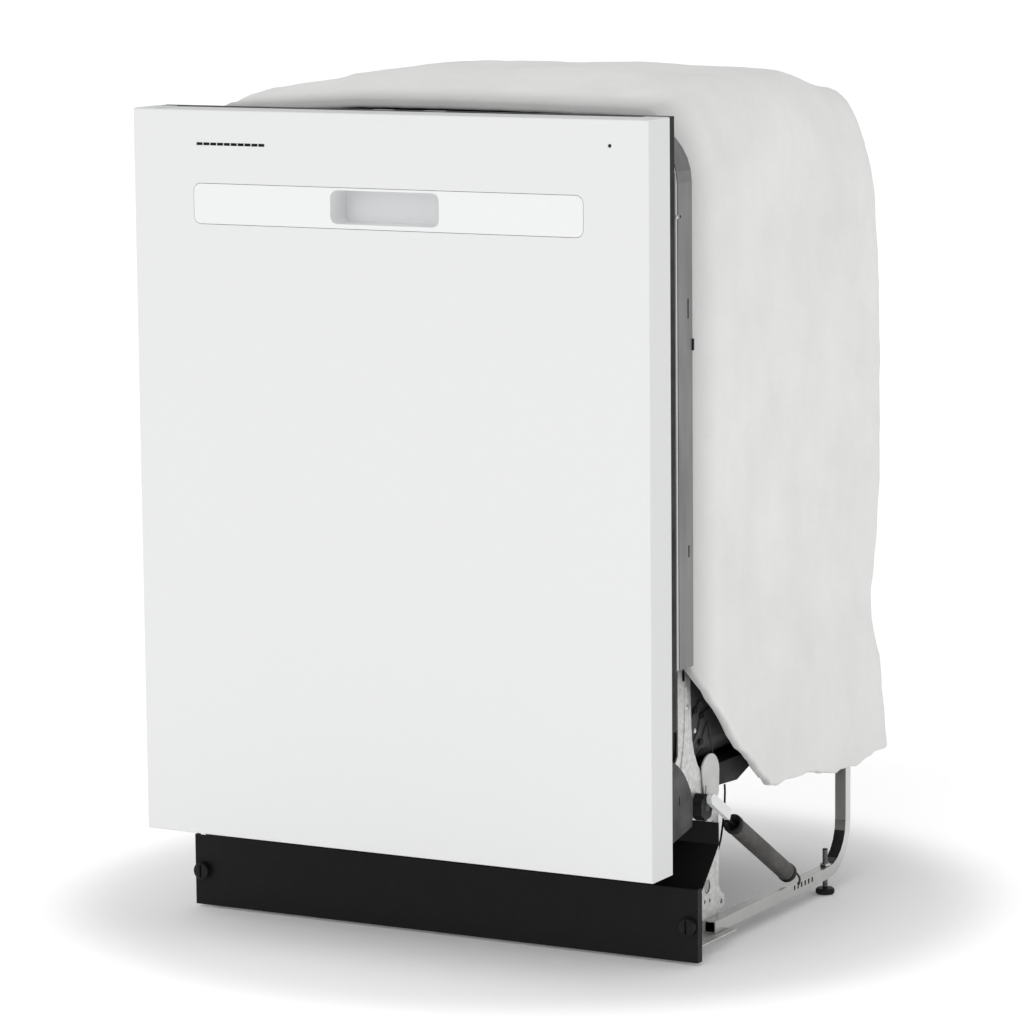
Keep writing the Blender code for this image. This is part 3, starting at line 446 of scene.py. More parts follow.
def from_bmesh(name, bm, smooth_angle=40, place=None):
    """A mesh object with outward faces, smooth up to an angle in degrees."""
    bmesh.ops.recalc_face_normals(bm, faces=bm.faces)
    data = bpy.data.meshes.new(name)
    bm.to_mesh(data)
    bm.free()
    data.shade_smooth()
    data.set_sharp_from_angle(angle=math.radians(smooth_angle))
    return new_object(name, data, place)


def wire(name, routes, radius, resolution=2):
    """One curve object with a round section along each route."""
    data = bpy.data.curves.new(name, "CURVE")
    data.dimensions = "3D"
    data.bevel_depth = radius
    data.bevel_resolution = resolution
    data.use_fill_caps = True
    for route in routes:
        spline = data.splines.new("POLY")
        spline.points.add(len(route) - 1)
        for point, place in zip(spline.points, route):
            point.co = (*place, 1.0)
        spline.use_smooth = True
    return new_object(name, data)


def as_mesh(obj):
    """The same piece as a mesh object, in place of its curve."""
    graph = bpy.context.evaluated_depsgraph_get()
    data = bpy.data.meshes.new_from_object(obj.evaluated_get(graph))
    name, place = obj.name, obj.matrix_world.copy()
    bpy.data.objects.remove(obj)
    return new_object(name, data, place)


def bend(points, steps=6):
    """A smooth curve through the points, as a list of points."""
    curve = []
    padded = [2 * points[0] - points[1], *points, 2 * points[-1] - points[-2]]
    for a, b, c, d in zip(padded, padded[1:], padded[2:], padded[3:]):
        for i in range(steps):
            t = i / steps
            curve.append(0.5 * (2 * b + (c - a) * t + (2 * a - 5 * b + 4 * c - d) * t * t
                                + (3 * b - a - 3 * c + d) * t ** 3))
    curve.append(points[-1])
    return curve


def arc(centre, radius, start, end, steps):
    """Points on an arc in a plane, angles in degrees, both ends included."""
    points = []
    for i in range(steps + 1):
        angle = math.radians(start + (end - start) * i / steps)
        points.append((centre[0] + radius * math.cos(angle), centre[1] + radius * math.sin(angle)))
    return points


def lathe(name, profile, place, steps=24, lobes=0, dent=0.0):
    """A profile of (radius, height) turned about Z; lobes dent the outer radius."""
    bm = bmesh.new()
    outermost = max(radius for radius, _ in profile)
    rows = []
    for radius, height in profile:
        if radius == 0.0:
            rows.append([bm.verts.new((0.0, 0.0, height))])
            continue
        row = []
        for i in range(steps):
            angle = 2 * math.pi * i / steps
            reach = radius - dent * (radius / outermost) ** 4 * (1 - math.cos(lobes * angle)) / 2
            row.append(bm.verts.new((reach * math.cos(angle), reach * math.sin(angle), height)))
        rows.append(row)
    for low, high in zip(rows, rows[1:]):
        for i in range(steps):
            j = (i + 1) % steps
            if len(low) == 1:
                bm.faces.new((low[0], high[j], high[i]))
            elif len(high) == 1:
                bm.faces.new((low[i], low[j], high[0]))
            else:
                bm.faces.new((low[i], low[j], high[j], high[i]))
    return from_bmesh(name, bm, 40, place)


def slab(name, outline, turn, middle, thickness, bevel=0.0003, holes=()):
    """A flat outline with holes, given a thickness and softly rounded edges."""
    data = bpy.data.curves.new(name, "CURVE")
    data.dimensions = "2D"
    data.fill_mode = "BOTH"
    data.extrude = thickness / 2 - bevel
    data.bevel_depth = bevel
    data.offset = -bevel
    for loop in (outline, *holes):
        spline = data.splines.new("POLY")
        spline.points.add(len(loop) - 1)
        for point, (a, b) in zip(spline.points, loop):
            point.co = (a, b, 0.0, 1.0)
        spline.use_cyclic_u = True
    return as_mesh(new_object(name, data, Matrix.Translation(middle) @ turn))


def rounded(low, high, radius, steps=4):
    """Outline of a rectangle between two corners, with round corners."""
    points = arc((high[0] - radius, low[1] + radius), radius, -90, 0, steps)
    points += arc((high[0] - radius, high[1] - radius), radius, 0, 90, steps)
    points += arc((low[0] + radius, high[1] - radius), radius, 90, 180, steps)
    points += arc((low[0] + radius, low[1] + radius), radius, 180, 270, steps)
    return points


def blocks(name, boxes, bevel=0.0006):
    """Several soft-edged boxes as one mesh, each as x, depth and z ranges."""
    bm = bmesh.new()
    for x, depth, z in boxes:
        size = Vector((x[1] - x[0], depth[1] - depth[0], z[1] - z[0]))
        made = bmesh.ops.create_cube(bm, size=1.0)["verts"]
        bmesh.ops.scale(bm, vec=size, verts=made)
        middle = behind((x[0] + x[1]) / 2, (depth[0] + depth[1]) / 2, (z[0] + z[1]) / 2)
        bmesh.ops.translate(bm, vec=middle, verts=made)
    bmesh.ops.bevel(bm, geom=list(bm.edges), offset=bevel, segments=2, affect="EDGES")
    return from_bmesh(name, bm, 50)


def rivet(name, place, turn, radius=0.003, height=0.0012):
    """A low domed head with a small seat."""
    profile = [(radius, 0.0), (radius, height * 0.35), (radius * 0.86, height * 0.72),
               (radius * 0.5, height * 0.96), (0.0, height)]
    return lathe(name, profile, Matrix.Translation(place) @ turn, 16)


def outwards(side):
    """Turn that points a lathe's axis away from the middle on one side."""
    return FACING_RIGHT if side > 0 else Matrix.Rotation(math.pi, 4, "Z") @ FACING_RIGHT


# --------------------------------------------------------------- fibre blanket

BATT_THICK = 0.012
BATT_EDGE = 0.0042
BATT_CELL = 0.0080
BATT_FRONT = COLLAR_HIGH.y - FRONT_Y + 0.0006
BATT_REAR = DEPTH - 0.020
BATT_HALF = HIGH.x - 0.0025
BATT_TOP = HIGH.z - 0.0025
BATT_CORNER = Vector((0.050, 0.045, 0.125))


def smoothstep(value):
    """0 to 1 with soft ends, held beyond them."""
    value = max(0.0, min(1.0, value))
    return value * value * (3 - 2 * value)


def between(stops, value):
    """Value read off a broken line of (place, height) stops."""
    for (a, low), (b, high) in zip(stops, stops[1:]):
        if value <= b:
            return low + (high - low) * max(0.0, (value - a) / (b - a))
    return stops[-1][1]


def batt_hem(depth):
    """Height of the blanket's lower edge: a slant behind the door, then nearly level."""
    slant = [(0.1045, 0.314), (0.125, 0.289), (0.160, 0.254), (0.197, 0.219), (0.281, 0.148),
             (0.310, 0.148), (0.350, 0.149), (0.418, 0.143), (0.470, 0.136), (0.500, 0.141),
             (DEPTH, 0.147)]
    return between(slant, depth)


def batt_waist(z):
    """How far the slack batt's rear corner stands in or out at a height."""
    return between([(0.14, 0.022), (0.20, 0.018), (0.25, 0.015), (0.29, 0.004), (0.32, 0.003),
                    (0.38, 0.0095), (0.45, 0.013), (0.55, 0.010), (0.69, 0.0045),
                    (0.81, -0.0045), (0.90, -0.008)], z)


def batt_slump(across, depth):
    """How far the crown sinks towards a side; the left shoulder slopes most at half its depth."""
    if across > 0:
        return 0.006 * across * across
    left = between([(0.10, 0.012), (0.16, 0.018), (0.24, 0.040), (0.32, 0.036), (0.40, 0.021),
                    (0.58, 0.012)], depth)
    return left * max(0.0, (-across - 0.3) / 0.7) ** 1.2


def batt_point(across, back, up):
    """A point of the blanket's skin and its outward direction, from a unit box."""
    depth = BATT_FRONT + (BATT_REAR - BATT_FRONT) * back
    foot = batt_hem(depth)
    place = Vector((across * BATT_HALF, depth, foot + (BATT_TOP - foot) * up))
    corner = BATT_CORNER
    inner = Vector((max(corner.x - BATT_HALF, min(BATT_HALF - corner.x, place.x)),
                    min(BATT_REAR - corner.y, place.y), min(BATT_TOP - corner.z, place.z)))
    away = Vector(((place.x - inner.x) / corner.x, (place.y - inner.y) / corner.y,
                   (place.z - inner.z) / corner.z))
    if away.length > 1.0:
        away.normalize()
    place = inner + Vector((away.x * corner.x, away.y * corner.y, away.z * corner.z))
    outward = away.normalized() if away.length else Vector((0.0, 0.0, 1.0))
    return hang_batt(place, across, outward), outward


def hang_batt(place, across, outward):
    """Crown, tuck behind the collar and slack of the batt, as it hangs on the tub."""
    shoulder = 0.55
    front_drop, front_run = 0.028, 0.13
    rear_drop, rear_start, rear_run = 0.030, 0.36, 0.20
    tuck, tuck_run = 0.034, 0.055
    slack_start, slack_run, slack_sideways = 0.33, 0.22, 0.35
    bulge_size, bulge_top, bulge_run = 0.010, 0.86, 0.2
    lift = smoothstep((place.z - shoulder) / (BATT_TOP - shoulder))
    from_front = place.y - BATT_FRONT
    place.z -= lift * batt_slump(across, place.y)
    place.z -= lift * front_drop * (1 - smoothstep(from_front / front_run))
    place.z -= lift * rear_drop * smoothstep((place.y - rear_start) / rear_run)
    place.x *= 1 - tuck * (1 - smoothstep(from_front / tuck_run))
    high_share = smoothstep((bulge_top - place.z) / bulge_run)
    bulge = bulge_size * (1 - across * across) * max(0.0, outward.y) * high_share
    slack = smoothstep((place.y - slack_start) / slack_run) * batt_waist(place.z)
    place.x += slack_sideways * slack * across
    place.y += slack + bulge
    return place


def batt_relief(place, outward):
    """Soft folds and lumps along the outward direction, held flat beside the collar."""
    spot = place.copy()
    broad = noise.noise(Vector((spot.x * 4.5, spot.y * 4.5, spot.z * 3.2)))
    folds = noise.noise(Vector((spot.x * 13.0, spot.y * 13.0, spot.z * 6.0 + 3.0)))
    lumps = noise.noise(Vector((spot.x * 34.0, spot.y * 34.0, spot.z * 30.0)))
    fine = noise.noise(Vector((spot.x * 90.0, spot.y * 90.0, spot.z * 90.0)))
    held = 0.25 + 0.75 * smoothstep((place.y - BATT_FRONT) / 0.08)
    broad *= 1 - 0.8 * smoothstep((place.z - 0.72) / 0.12)
    swell = held * (0.0055 * broad + 0.0020 * folds + 0.0011 * lumps) + 0.0005 * fine
    return place + outward * (swell - 0.0035 * held)


def batt_skin():
    """The batt's outer skin over the tub's sides, back and top, with an uneven hem."""
    hem_level = 0.16
    columns = round(2 * BATT_HALF / BATT_CELL)
    rows = round((BATT_REAR - BATT_FRONT) / BATT_CELL)
    levels = round((BATT_TOP - hem_level) / BATT_CELL)
    bm = bmesh.new()
    made = {}

    def corner(i, j, k):
        if (i, j, k) not in made:
            place, outward = batt_point(2 * i / columns - 1, j / rows, k / levels)
            place = batt_relief(place, outward)
            hem_share = (1 - k / levels) ** 6
            place.z += hem_share * 0.007 * noise.noise(place * 22.0)
            place.z += hem_share * 0.003 * noise.noise(place * 75.0)
            made[(i, j, k)] = bm.verts.new(behind(*place))
        return made[(i, j, k)]

    for k in range(levels):
        for j in range(rows):
            for i in (0, columns):
                bm.faces.new([corner(i, j, k), corner(i, j + 1, k),
                              corner(i, j + 1, k + 1), corner(i, j, k + 1)])
        for i in range(columns):
            bm.faces.new([corner(i, rows, k), corner(i + 1, rows, k),
                          corner(i + 1, rows, k + 1), corner(i, rows, k + 1)])
    for i in range(columns):
        for j in range(rows):
            bm.faces.new([corner(i, j, levels), corner(i + 1, j, levels),
                          corner(i + 1, j + 1, levels), corner(i, j + 1, levels)])
    return bm


def face_outwards(bm, core):
    """Turn a skin's faces so that they look away from a point inside it."""
    bmesh.ops.recalc_face_normals(bm, faces=bm.faces)
    turned_in = sum(face.normal.dot(face.calc_center_median() - core) for face in bm.faces) < 0
    if turned_in:
        bmesh.ops.reverse_faces(bm, faces=bm.faces)


def make_blanket():
    """A lofty fibre batt laid over the tub, with real thickness and rolled edges."""
    bm = batt_skin()
    face_outwards(bm, middle_of("tub"))
    data = bpy.data.meshes.new("fibre_blanket")
    bm.to_mesh(data)
    bm.free()
    data.shade_smooth()
    blanket = new_object("fibre_blanket", data)
    thick = blanket.modifiers.new("thick", "SOLIDIFY")
    thick.thickness = BATT_THICK
    thick.offset = -1.0
    roll = blanket.modifiers.new("roll", "BEVEL")
    roll.width = BATT_EDGE
    roll.segments = 3
    roll.limit_method = "ANGLE"
    roll.angle_limit = math.radians(62)
    keep(blanket, "chassis", "fibre_batt")
    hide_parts("insulation_blanket")


# ----------------------------------------------------------------- frame, sides

COLLAR_OUT = COLLAR_HIGH.x
COLLAR_TOP = COLLAR_HIGH.z
COLLAR_CORNER = 0.0613
COLLAR_FOOT = COLLAR_LOW.z


def collar_arch(inset, depth, steps=10):
    """An inverted U that follows the collar's outer wall, an inset inside it."""
    half, top = COLLAR_OUT - inset, COLLAR_TOP - inset
    corner = COLLAR_CORNER - inset
    points = [(half, COLLAR_FOOT + 0.001)]
    points += arc((half - corner, top - corner), corner, 0, 90, steps)
    points += arc((corner - half, top - corner), corner, 90, 180, steps)
    points += [(-half, COLLAR_FOOT + 0.001)]
    return [behind(x, depth, z) for x, z in points]


def make_collar_details():
    """Near the front fold, a bead in bright steel as a painted highlight and a thin dark wire as a
    groove's painted shade; on each side, a bright steel dot, partly a painted highlight, and a clip.
    """
    bead_depth, groove_shade_depth = 0.0683, 0.0715
    dot_depth, dot_z = 0.0690, 0.7700
    clip_depths, clip_heights = (0.1030, 0.1060), (0.633, 0.645)
    # The bead's bright steel on the collar's fold is a painted highlight.
    keep(wire("collar_bead_painted_highlight", [collar_arch(0.0004, bead_depth)], 0.0012, 3), "chassis",
         "galvanised_steel", "bright_steel")
    # A thin dark wire on the collar: the groove's painted shade.
    keep(wire("collar_groove_painted_shade", [collar_arch(0.0001, groove_shade_depth)], 0.0004), "chassis",
         "galvanised_steel", "dark_steel")
    for label, side in SIDES:
        # The embossed dot is a bright steel dome: partly a painted highlight.
        dot = rivet(f"collar_dot_painted_highlight_{label}", behind(side * COLLAR_OUT, dot_depth, dot_z),
                    outwards(side), 0.0024, 0.0018)
        keep(dot, "chassis", "galvanised_steel", "bright_steel")
        edge = sorted((side * (COLLAR_OUT - 0.0004), side * (COLLAR_OUT + 0.0013)))
        clip = blocks(f"collar_clip_{label}", [(edge, clip_depths, clip_heights)], 0.0004)
        keep(clip, "chassis", "black_plastic")


def make_wear_plates():
    """The nylon wear plate beside each spring roller, with its outline as depth and z."""
    plate_x, thickness = 0.2780, 0.0020
    outline = [(0.1600, 0.1760), (0.1655, 0.1500), (0.1880, 0.1480), (0.1970, 0.1620)]
    outline += arc((0.1765, 0.1840), 0.0215, -10, 150, 12)
    slot = rounded((0.1640, 0.1640), (0.1670, 0.1740), 0.0014, 2)
    for label, side in SIDES:
        middle = behind(side * plate_x, 0.0, 0.0)
        plate = slab(f"wear_plate_{label}", outline, FACING_RIGHT, middle, thickness, 0.0005, [slot])
        keep(plate, "chassis", "grey_nylon", "clear_nylon")


def make_bracket_details():
    """Rivets, the roller pin's head and a pressed rib on each side bracket."""
    face_x = 0.2766
    pin_x, pin_depth, pin_z = 0.2883, 0.149, 0.155
    rivets = ((0.1450, 0.235), (0.1270, 0.262), (0.1580, 0.0300), (0.1860, 0.1300))
    rib_stops = ((0.124, 0.284), (0.122, 0.250), (0.118, 0.222), (0.112, 0.200))
    for label, side in SIDES:
        turn = outwards(side)
        for i, (depth, z) in enumerate(rivets):
            head = rivet(f"bracket_rivet_{label}_{i + 1}", behind(side * face_x, depth, z), turn)
            keep(head, "chassis", "galvanised_steel", "bright_steel")
        cap = rivet(f"roller_pin_head_{label}", behind(side * pin_x, pin_depth, pin_z), turn,
                    0.0048, 0.0014)
        keep(cap, "chassis", "galvanised_steel", "dark_steel")
        rib = [behind(side * (face_x + 0.0001), depth, z) for depth, z in rib_stops]
        keep(wire(f"bracket_rib_{label}", [bend(rib)], 0.0011, 3), "chassis", "galvanised_steel")


def make_vent_grille():
    """A plate with thin bars behind the door's vent slits."""
    slit_z, start, end = 0.835, -0.223, -0.140
    bars = 21
    pitch = (end - start) / bars
    grille = [((start - 0.003, end + 0.003), (0.0022, 0.0040), (slit_z - 0.005, slit_z + 0.005))]
    for i in range(bars):
        x = start + pitch * i
        grille.append(((x, x + 0.0008), (0.0014, 0.0024), (slit_z - 0.004, slit_z + 0.004)))
    keep(blocks("vent_grille", grille, 0.0001), "door", "black_plastic")


def make_indicator():
    """The domed lens of the indicator lamp in the door's face."""
    place = Matrix.Translation(behind(0.257, 0.0, 0.844)) @ FACING_FRONT
    lens = lathe("indicator_lens", [(0.0, -0.0030), (0.0017, -0.0030), (0.0017, -0.0002),
                                    (0.0010, 0.0002), (0.0, 0.0003)], place, 16)
    keep(lens, "door", "black_plastic")


def make_corner_folds():
    """The folded tabs on the rim at the door's top corners."""
    rim = DOOR_HIGH.y - DOOR_LOW.y
    for label, side in SIDES:
        x = sorted((side * (DOOR_HIGH.x - 0.026), side * (DOOR_HIGH.x - 0.0004)))
        tab = blocks(f"door_corner_fold_{label}",
                     [(x, (0.0035, rim - 0.0010), (DOOR_HIGH.z - 0.0002, DOOR_HIGH.z + 0.0006))],
                     0.0002)
        keep(tab, "door", "white_enamel")


# -------------------------------------------------------------- springs, feet

SPRING_X = 0.2845
SPRING_TURNS = 34
SPRING_COIL = 0.0060
SPRING_WIRE = 0.0011
SLEEVE_RADIUS = 0.0098
SLEEVE_LOW, SLEEVE_HIGH = corners("spring_sleeve_right")
SPRING_RUN = Vector((0.137, -0.0819)).normalized()
SPRING_START = Vector((SLEEVE_LOW.y - FRONT_Y - SLEEVE_RADIUS * SPRING_RUN.y,
                       SLEEVE_HIGH.z - SLEEVE_RADIUS * SPRING_RUN.x))
SPRING_END = Vector((SLEEVE_HIGH.y - FRONT_Y + SLEEVE_RADIUS * SPRING_RUN.y,
                     SLEEVE_LOW.z + SLEEVE_RADIUS * SPRING_RUN.x))
SPRING_LENGTH = (SPRING_END - SPRING_START).length

LOCK_NUT_Z = {"front": 0.0174, "rear": 0.03075}
THREAD_PITCH = 0.00125


def spring_point(side, along, out=0.0, angle=0.0):
    """A point beside the spring's axis; along starts at the sleeve's upper mouth."""
    up = Vector((-SPRING_RUN.y, SPRING_RUN.x))
    base = SPRING_START + SPRING_RUN * along + up * (out * math.sin(angle))
    return behind(side * (SPRING_X + out * math.cos(angle)), base.x, base.y)


def spring_route(side):
    """The spring wire's path: a straight tail to the link, then coils that fill the sleeve."""
    route = [spring_point(side, -0.0330, 0.0068), spring_point(side, -0.0200, 0.0032),
             spring_point(side, -0.006), spring_point(side, 0.004)]
    steps = SPRING_TURNS * 10
    for i in range(steps + 1):
        share = i / steps
        angle = 2 * math.pi * SPRING_TURNS * share
        grow = SPRING_COIL * min(1.0, 14 * share, 14 * (1 - share)) * 0.98
        along = 0.010 + (SPRING_LENGTH - 0.022) * share
        route.append(spring_point(side, along, grow, angle))
    return route


def make_spring_coil(label, side):
    """The coil spring, as one fixed mesh whose upper tail reaches towards the link and whose lower
    end stays.
    """
    coil = as_mesh(wire(f"spring_coil_{label}", [spring_route(side)], SPRING_WIRE, 1))
    coil.data.materials.append(LOOKS["dark_steel"])
    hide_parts(f"door_spring_{label}")
    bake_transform(coil)


def make_sleeve_rings(label, side):
    """A black ring at each mouth of the sleeve."""
    tilt = Vector((0.0, SPRING_RUN.x, SPRING_RUN.y)).to_track_quat("Z", "Y").to_matrix().to_4x4()
    inner, outer = SLEEVE_RADIUS - 0.0016, SLEEVE_RADIUS + 0.0007
    for i, (along, thick) in enumerate(((-0.0002, 0.008), (SPRING_LENGTH - 0.007, 0.007))):
        profile = [(inner, 0.0), (outer - 0.0003, 0.0003), (outer, 0.0012),
                   (outer, thick - 0.001), (outer - 0.0004, thick), (inner, thick), (inner, 0.0)]
        ring = lathe(f"sleeve_ring_{label}_{i + 1}", profile,
                     Matrix.Translation(spring_point(side, along)) @ tilt, 32)
        keep(ring, "chassis", "black_plastic")


def make_spring_hook(label, side):
    """The wire hook from the sleeve's lower mouth into a slot of the rail."""
    stops = ((0.2862, 0.3660, 0.0420), (0.2885, 0.3690, 0.0390), (0.2905, 0.3706, 0.0345),
             (0.2903, 0.3700, 0.0290), (0.2886, 0.3690, 0.0262))
    hook = [spring_point(side, SPRING_LENGTH - 0.012), spring_point(side, SPRING_LENGTH + 0.001)]
    hook += [behind(side * x, depth, z) for x, depth, z in stops]
    keep(wire(f"spring_hook_{label}", [bend(hook)], 0.0012, 2), "chassis", "dark_steel")


def make_springs():
    """Coil springs in their sleeves, hooked into the rail and pulled by the links."""
    for label, side in SIDES:
        make_spring_coil(label, side)
        make_sleeve_rings(label, side)
        make_spring_hook(label, side)


def stud_thread(name, centre, top):
    """A helix of fine wire round a levelling stud."""
    radius, start, end = 0.0027, 0.0075, top - 0.0015
    steps = round((end - start) / THREAD_PITCH) * 10
    helix = []
    for i in range(steps + 1):
        angle = 2 * math.pi * i / 10
        helix.append(Vector((centre.x + radius * math.cos(angle),
                             centre.y + radius * math.sin(angle),
                             start + (end - start) * i / steps)))
    return wire(name, [helix], 0.00032, 0)


def foot_grip(name, centre, pad):
    """The knurled rim of a levelling foot's pad."""
    profile = [(pad - 0.0012, 0.0012), (pad + 0.0004, 0.0016), (pad + 0.0004, 0.0050),
               (pad - 0.0012, 0.0054)]
    return lathe(name, profile, Matrix.Translation((centre.x, centre.y, 0.0)), 96, 24, 0.0007)


def lock_nut(name, centre, z):
    """A six-sided nut round a levelling stud."""
    profile = [(0.0034, 0.0), (0.0058, 0.0), (0.0062, 0.0005), (0.0062, 0.0030),
               (0.0058, 0.0035), (0.0034, 0.0035), (0.0034, 0.0)]
    return lathe(name, profile, Matrix.Translation((centre.x, centre.y, z)), 6)


def make_feet():
    """Threads on the levelling studs, knurled pads and lock nuts."""
    for place in ("front", "rear"):
        for label, side in SIDES:
            low, high = corners(f"foot_{place}_{label}")
            centre = (low + high) / 2
            leg = f"leg_{place}_{label}"
            keep(stud_thread(f"foot_thread_{place}_{label}", centre, high.z), leg,
                 "black_plastic", "bright_steel")
            keep(foot_grip(f"foot_grip_{place}_{label}", centre, (high.x - low.x) / 2), leg,
                 "black_plastic")
            keep(lock_nut(f"lock_nut_{place}_{label}", centre, LOCK_NUT_Z[place]), "chassis",
                 "galvanised_steel", "bright_steel")


# ----------------------------------------------------------- leads and wiring

LEAD_RADIUS = 0.0011
LEAD_STOPS = ((0.2735, 0.2215, 0.1640), (0.2735, 0.2222, 0.1560), (0.2733, 0.2218, 0.1440),
              (0.2728, 0.2205, 0.1310), (0.2722, 0.2185, 0.1180), (0.2714, 0.2160, 0.1060),
              (0.2700, 0.2125, 0.0950), (0.2672, 0.2085, 0.0860), (0.2625, 0.2045, 0.0790),
              (0.2560, 0.2010, 0.0735), (0.2480, 0.1985, 0.0695), (0.2390, 0.1970, 0.0670),
              (0.2295, 0.1965, 0.0660), (0.2203, 0.1965, 0.0660))


def make_lead():
    """The lead from the tray's edge behind the right bracket to the junction box."""
    route = [behind(*stop) for stop in LEAD_STOPS]
    lead = wire("junction_lead", [route], LEAD_RADIUS, 3)
    keep(lead, "chassis", "black_plastic")
    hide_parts("harness_lead")


def make_taped_leads():
    """Thin leads taped flat to the tub's right side, with their clips, as depth and z."""
    runs = [[(0.128, 0.252), (0.141, 0.246), (0.152, 0.254), (0.163, 0.262), (0.172, 0.256)],
            [(0.131, 0.224), (0.146, 0.222), (0.159, 0.232), (0.168, 0.247), (0.186, 0.252)],
            [(0.137, 0.208), (0.150, 0.207), (0.166, 0.219), (0.182, 0.236), (0.190, 0.214),
             (0.196, 0.197)]]
    clips = ((0.152, 0.2545), (0.168, 0.2465), (0.166, 0.2190), (0.1955, 0.1980))
    clip_x = (TUB_SIDE - 0.0002, TUB_SIDE + 0.0024)
    routes = [bend([behind(TUB_SIDE + 0.0011, *stop) for stop in run]) for run in runs]
    keep(wire("taped_leads", routes, 0.0009, 2), "chassis", "black_plastic", "grey_rubber")
    boxes = [(clip_x, (depth - 0.004, depth + 0.004), (z - 0.003, z + 0.003)) for depth, z in clips]
    keep(blocks("lead_clips", boxes, 0.0004), "chassis", "black_plastic")


# ------------------------------------------------------------------- interior

def rack_tines(name, body, floor, height, rows, columns):
    """Upright wire tines on a rack's floor, in rows between two depths and two x values."""
    routes = []
    for depth in rows:
        for x in columns:
            routes.append([behind(x, depth, floor), behind(x, depth + 0.003, floor + height * 0.5),
                           behind(x, depth + 0.010, floor + height)])
    keep(wire(name, routes, 0.0016, 1), body, "rack_coating")


def spread(low, high, count):
    """Evenly spaced values from low to high, both included."""
    return [low + (high - low) * i / (count - 1) for i in range(count)]


def make_rack_wheels(label, side, floor):
    """Three wheels on one side of the lower rack."""
    wheel = [(0.0030, -0.0035), (0.0120, -0.0035), (0.0135, -0.0020), (0.0135, 0.0020),
             (0.0120, 0.0035), (0.0060, 0.0035), (0.0050, 0.0022), (0.0030, 0.0022),
             (0.0030, -0.0035)]
    for i, depth in enumerate((0.160, 0.300, 0.440)):
        place = behind(side * 0.2590, depth, floor + 0.0030)
        disc = lathe(f"lower_rack_wheel_{label}_{i + 1}", wheel,
                     Matrix.Translation(place) @ outwards(side), 24)
        keep(disc, "rack_lower", "grey_nylon")


def make_rack_channel(label, side, floor):
    """The steel channel on the tub's wall that carries the upper rack."""
    middle = floor + 0.055
    run = (0.090, 0.520)
    web = sorted((side * 0.2665, side * 0.2692))
    lips = sorted((side * 0.2575, side * 0.2692))
    channel = blocks(f"rack_channel_{label}",
                     [(web, run, (middle - 0.0110, middle + 0.0110)),
                      (lips, run, (middle + 0.0085, middle + 0.0110)),
                      (lips, run, (middle - 0.0110, middle - 0.0085))], 0.0004)
    keep(channel, "chassis", "stainless_steel")


def make_rack_details():
    """Tines on both racks, the lower rack's wheels and the upper rack's channels."""
    lower_low, lower_high = corners("lower_rack_floor")
    upper_low, upper_high = corners("upper_rack_floor")
    columns = spread(-0.225, 0.225, 13)
    rack_tines("lower_rack_tines", "rack_lower", lower_high.z - 0.0005, 0.062,
               spread(0.225, 0.485, 7), columns)
    rack_tines("upper_rack_tines", "rack_upper", upper_high.z - 0.0005, 0.048,
               (0.160, 0.265, 0.370, 0.475), columns)
    for label, side in SIDES:
        make_rack_wheels(label, side, lower_low.z)
        make_rack_channel(label, side, upper_low.z)


def make_spray_nozzles():
    """Eight jets along the top of each spray arm, which rests at a slant across the tub."""
    turn = math.radians(24)
    along = Vector((math.cos(turn), math.sin(turn), 0.0))
    jet_profile = [(0.0050, -0.0002), (0.0046, 0.0010), (0.0030, 0.0018), (0.0016, 0.0018),
                   (0.0012, 0.0004), (0.0, 0.0004)]
    for node, body, reach in (("lower_spray_arm", "lower_arm", 0.172),
                              ("upper_spray_arm", "upper_arm", 0.170)):
        low, high = corners(node)
        centre = (low + high) / 2
        top = low.z + 0.008
        for i, share in enumerate((-1.0, -0.78, -0.55, -0.32, 0.32, 0.55, 0.78, 1.0)):
            place = Vector((centre.x, centre.y, top)) + along * (reach * share)
            jet = lathe(f"{node}_jet_{i + 1}", jet_profile, Matrix.Translation(place), 16)
            keep(jet, body, "grey_nylon")


def make_liner_details():
    """Pressed beads across the inner door, and the dispenser's catch and window."""
    face = 0.0727
    catch = ((-0.0078, 0.0005), (0.0812, 0.0842), (0.530, 0.550))
    window = ((0.040, 0.058), (0.0809, 0.0822), (0.500, 0.520))
    routes = []
    for z in (0.300, 0.345, 0.390, 0.700, 0.745):
        routes.append([behind(x, face, z) for x in spread(-0.205, 0.205, 12)])
    keep(wire("liner_beads", routes, 0.0022, 3), "door", "stainless_steel")
    keep(blocks("dispenser_catch", [catch, window]), "door", "grey_nylon")


def make_motor_fins():
    """Rings round the wash motor's body."""
    low, high = corners("wash_motor")
    motor = (low + high) / 2
    circle = arc((0.0, 0.0), (high.z - low.z) / 2, 0, 360, 32)
    fins = []
    for x in spread(low.x + 0.012, high.x - 0.012, 9):
        fins.append([Vector((x, motor.y + y, motor.z + z)) for y, z in circle])
    keep(wire("motor_fins", fins, 0.0013, 2), "chassis", "grey_nylon")


def make_water_ways():
    """Moulded pipes from the wash motor and the drain pump to the sump."""
    sump = middle_of("sump")
    low, high = corners("wash_motor")
    motor = (low + high) / 2
    way = [Vector((high.x - 0.004, motor.y, motor.z)),
           Vector((high.x + 0.016, motor.y, motor.z + 0.002)),
           Vector((high.x + 0.042, motor.y - 0.010, motor.z + 0.014)),
           Vector((sump.x - 0.074, sump.y + 0.012, sump.z + 0.004)),
           Vector((sump.x - 0.058, sump.y + 0.006, sump.z + 0.004))]
    keep(wire("wash_water_way", [bend(way)], 0.0125, 4), "chassis", "black_plastic")
    low, high = corners("drain_pump")
    pump = (low + high) / 2
    neck = [Vector((high.x - 0.003, pump.y, pump.z)), Vector((sump.x - 0.0585, pump.y, pump.z))]
    keep(wire("drain_neck", [neck], 0.0095, 4), "chassis", "black_plastic")


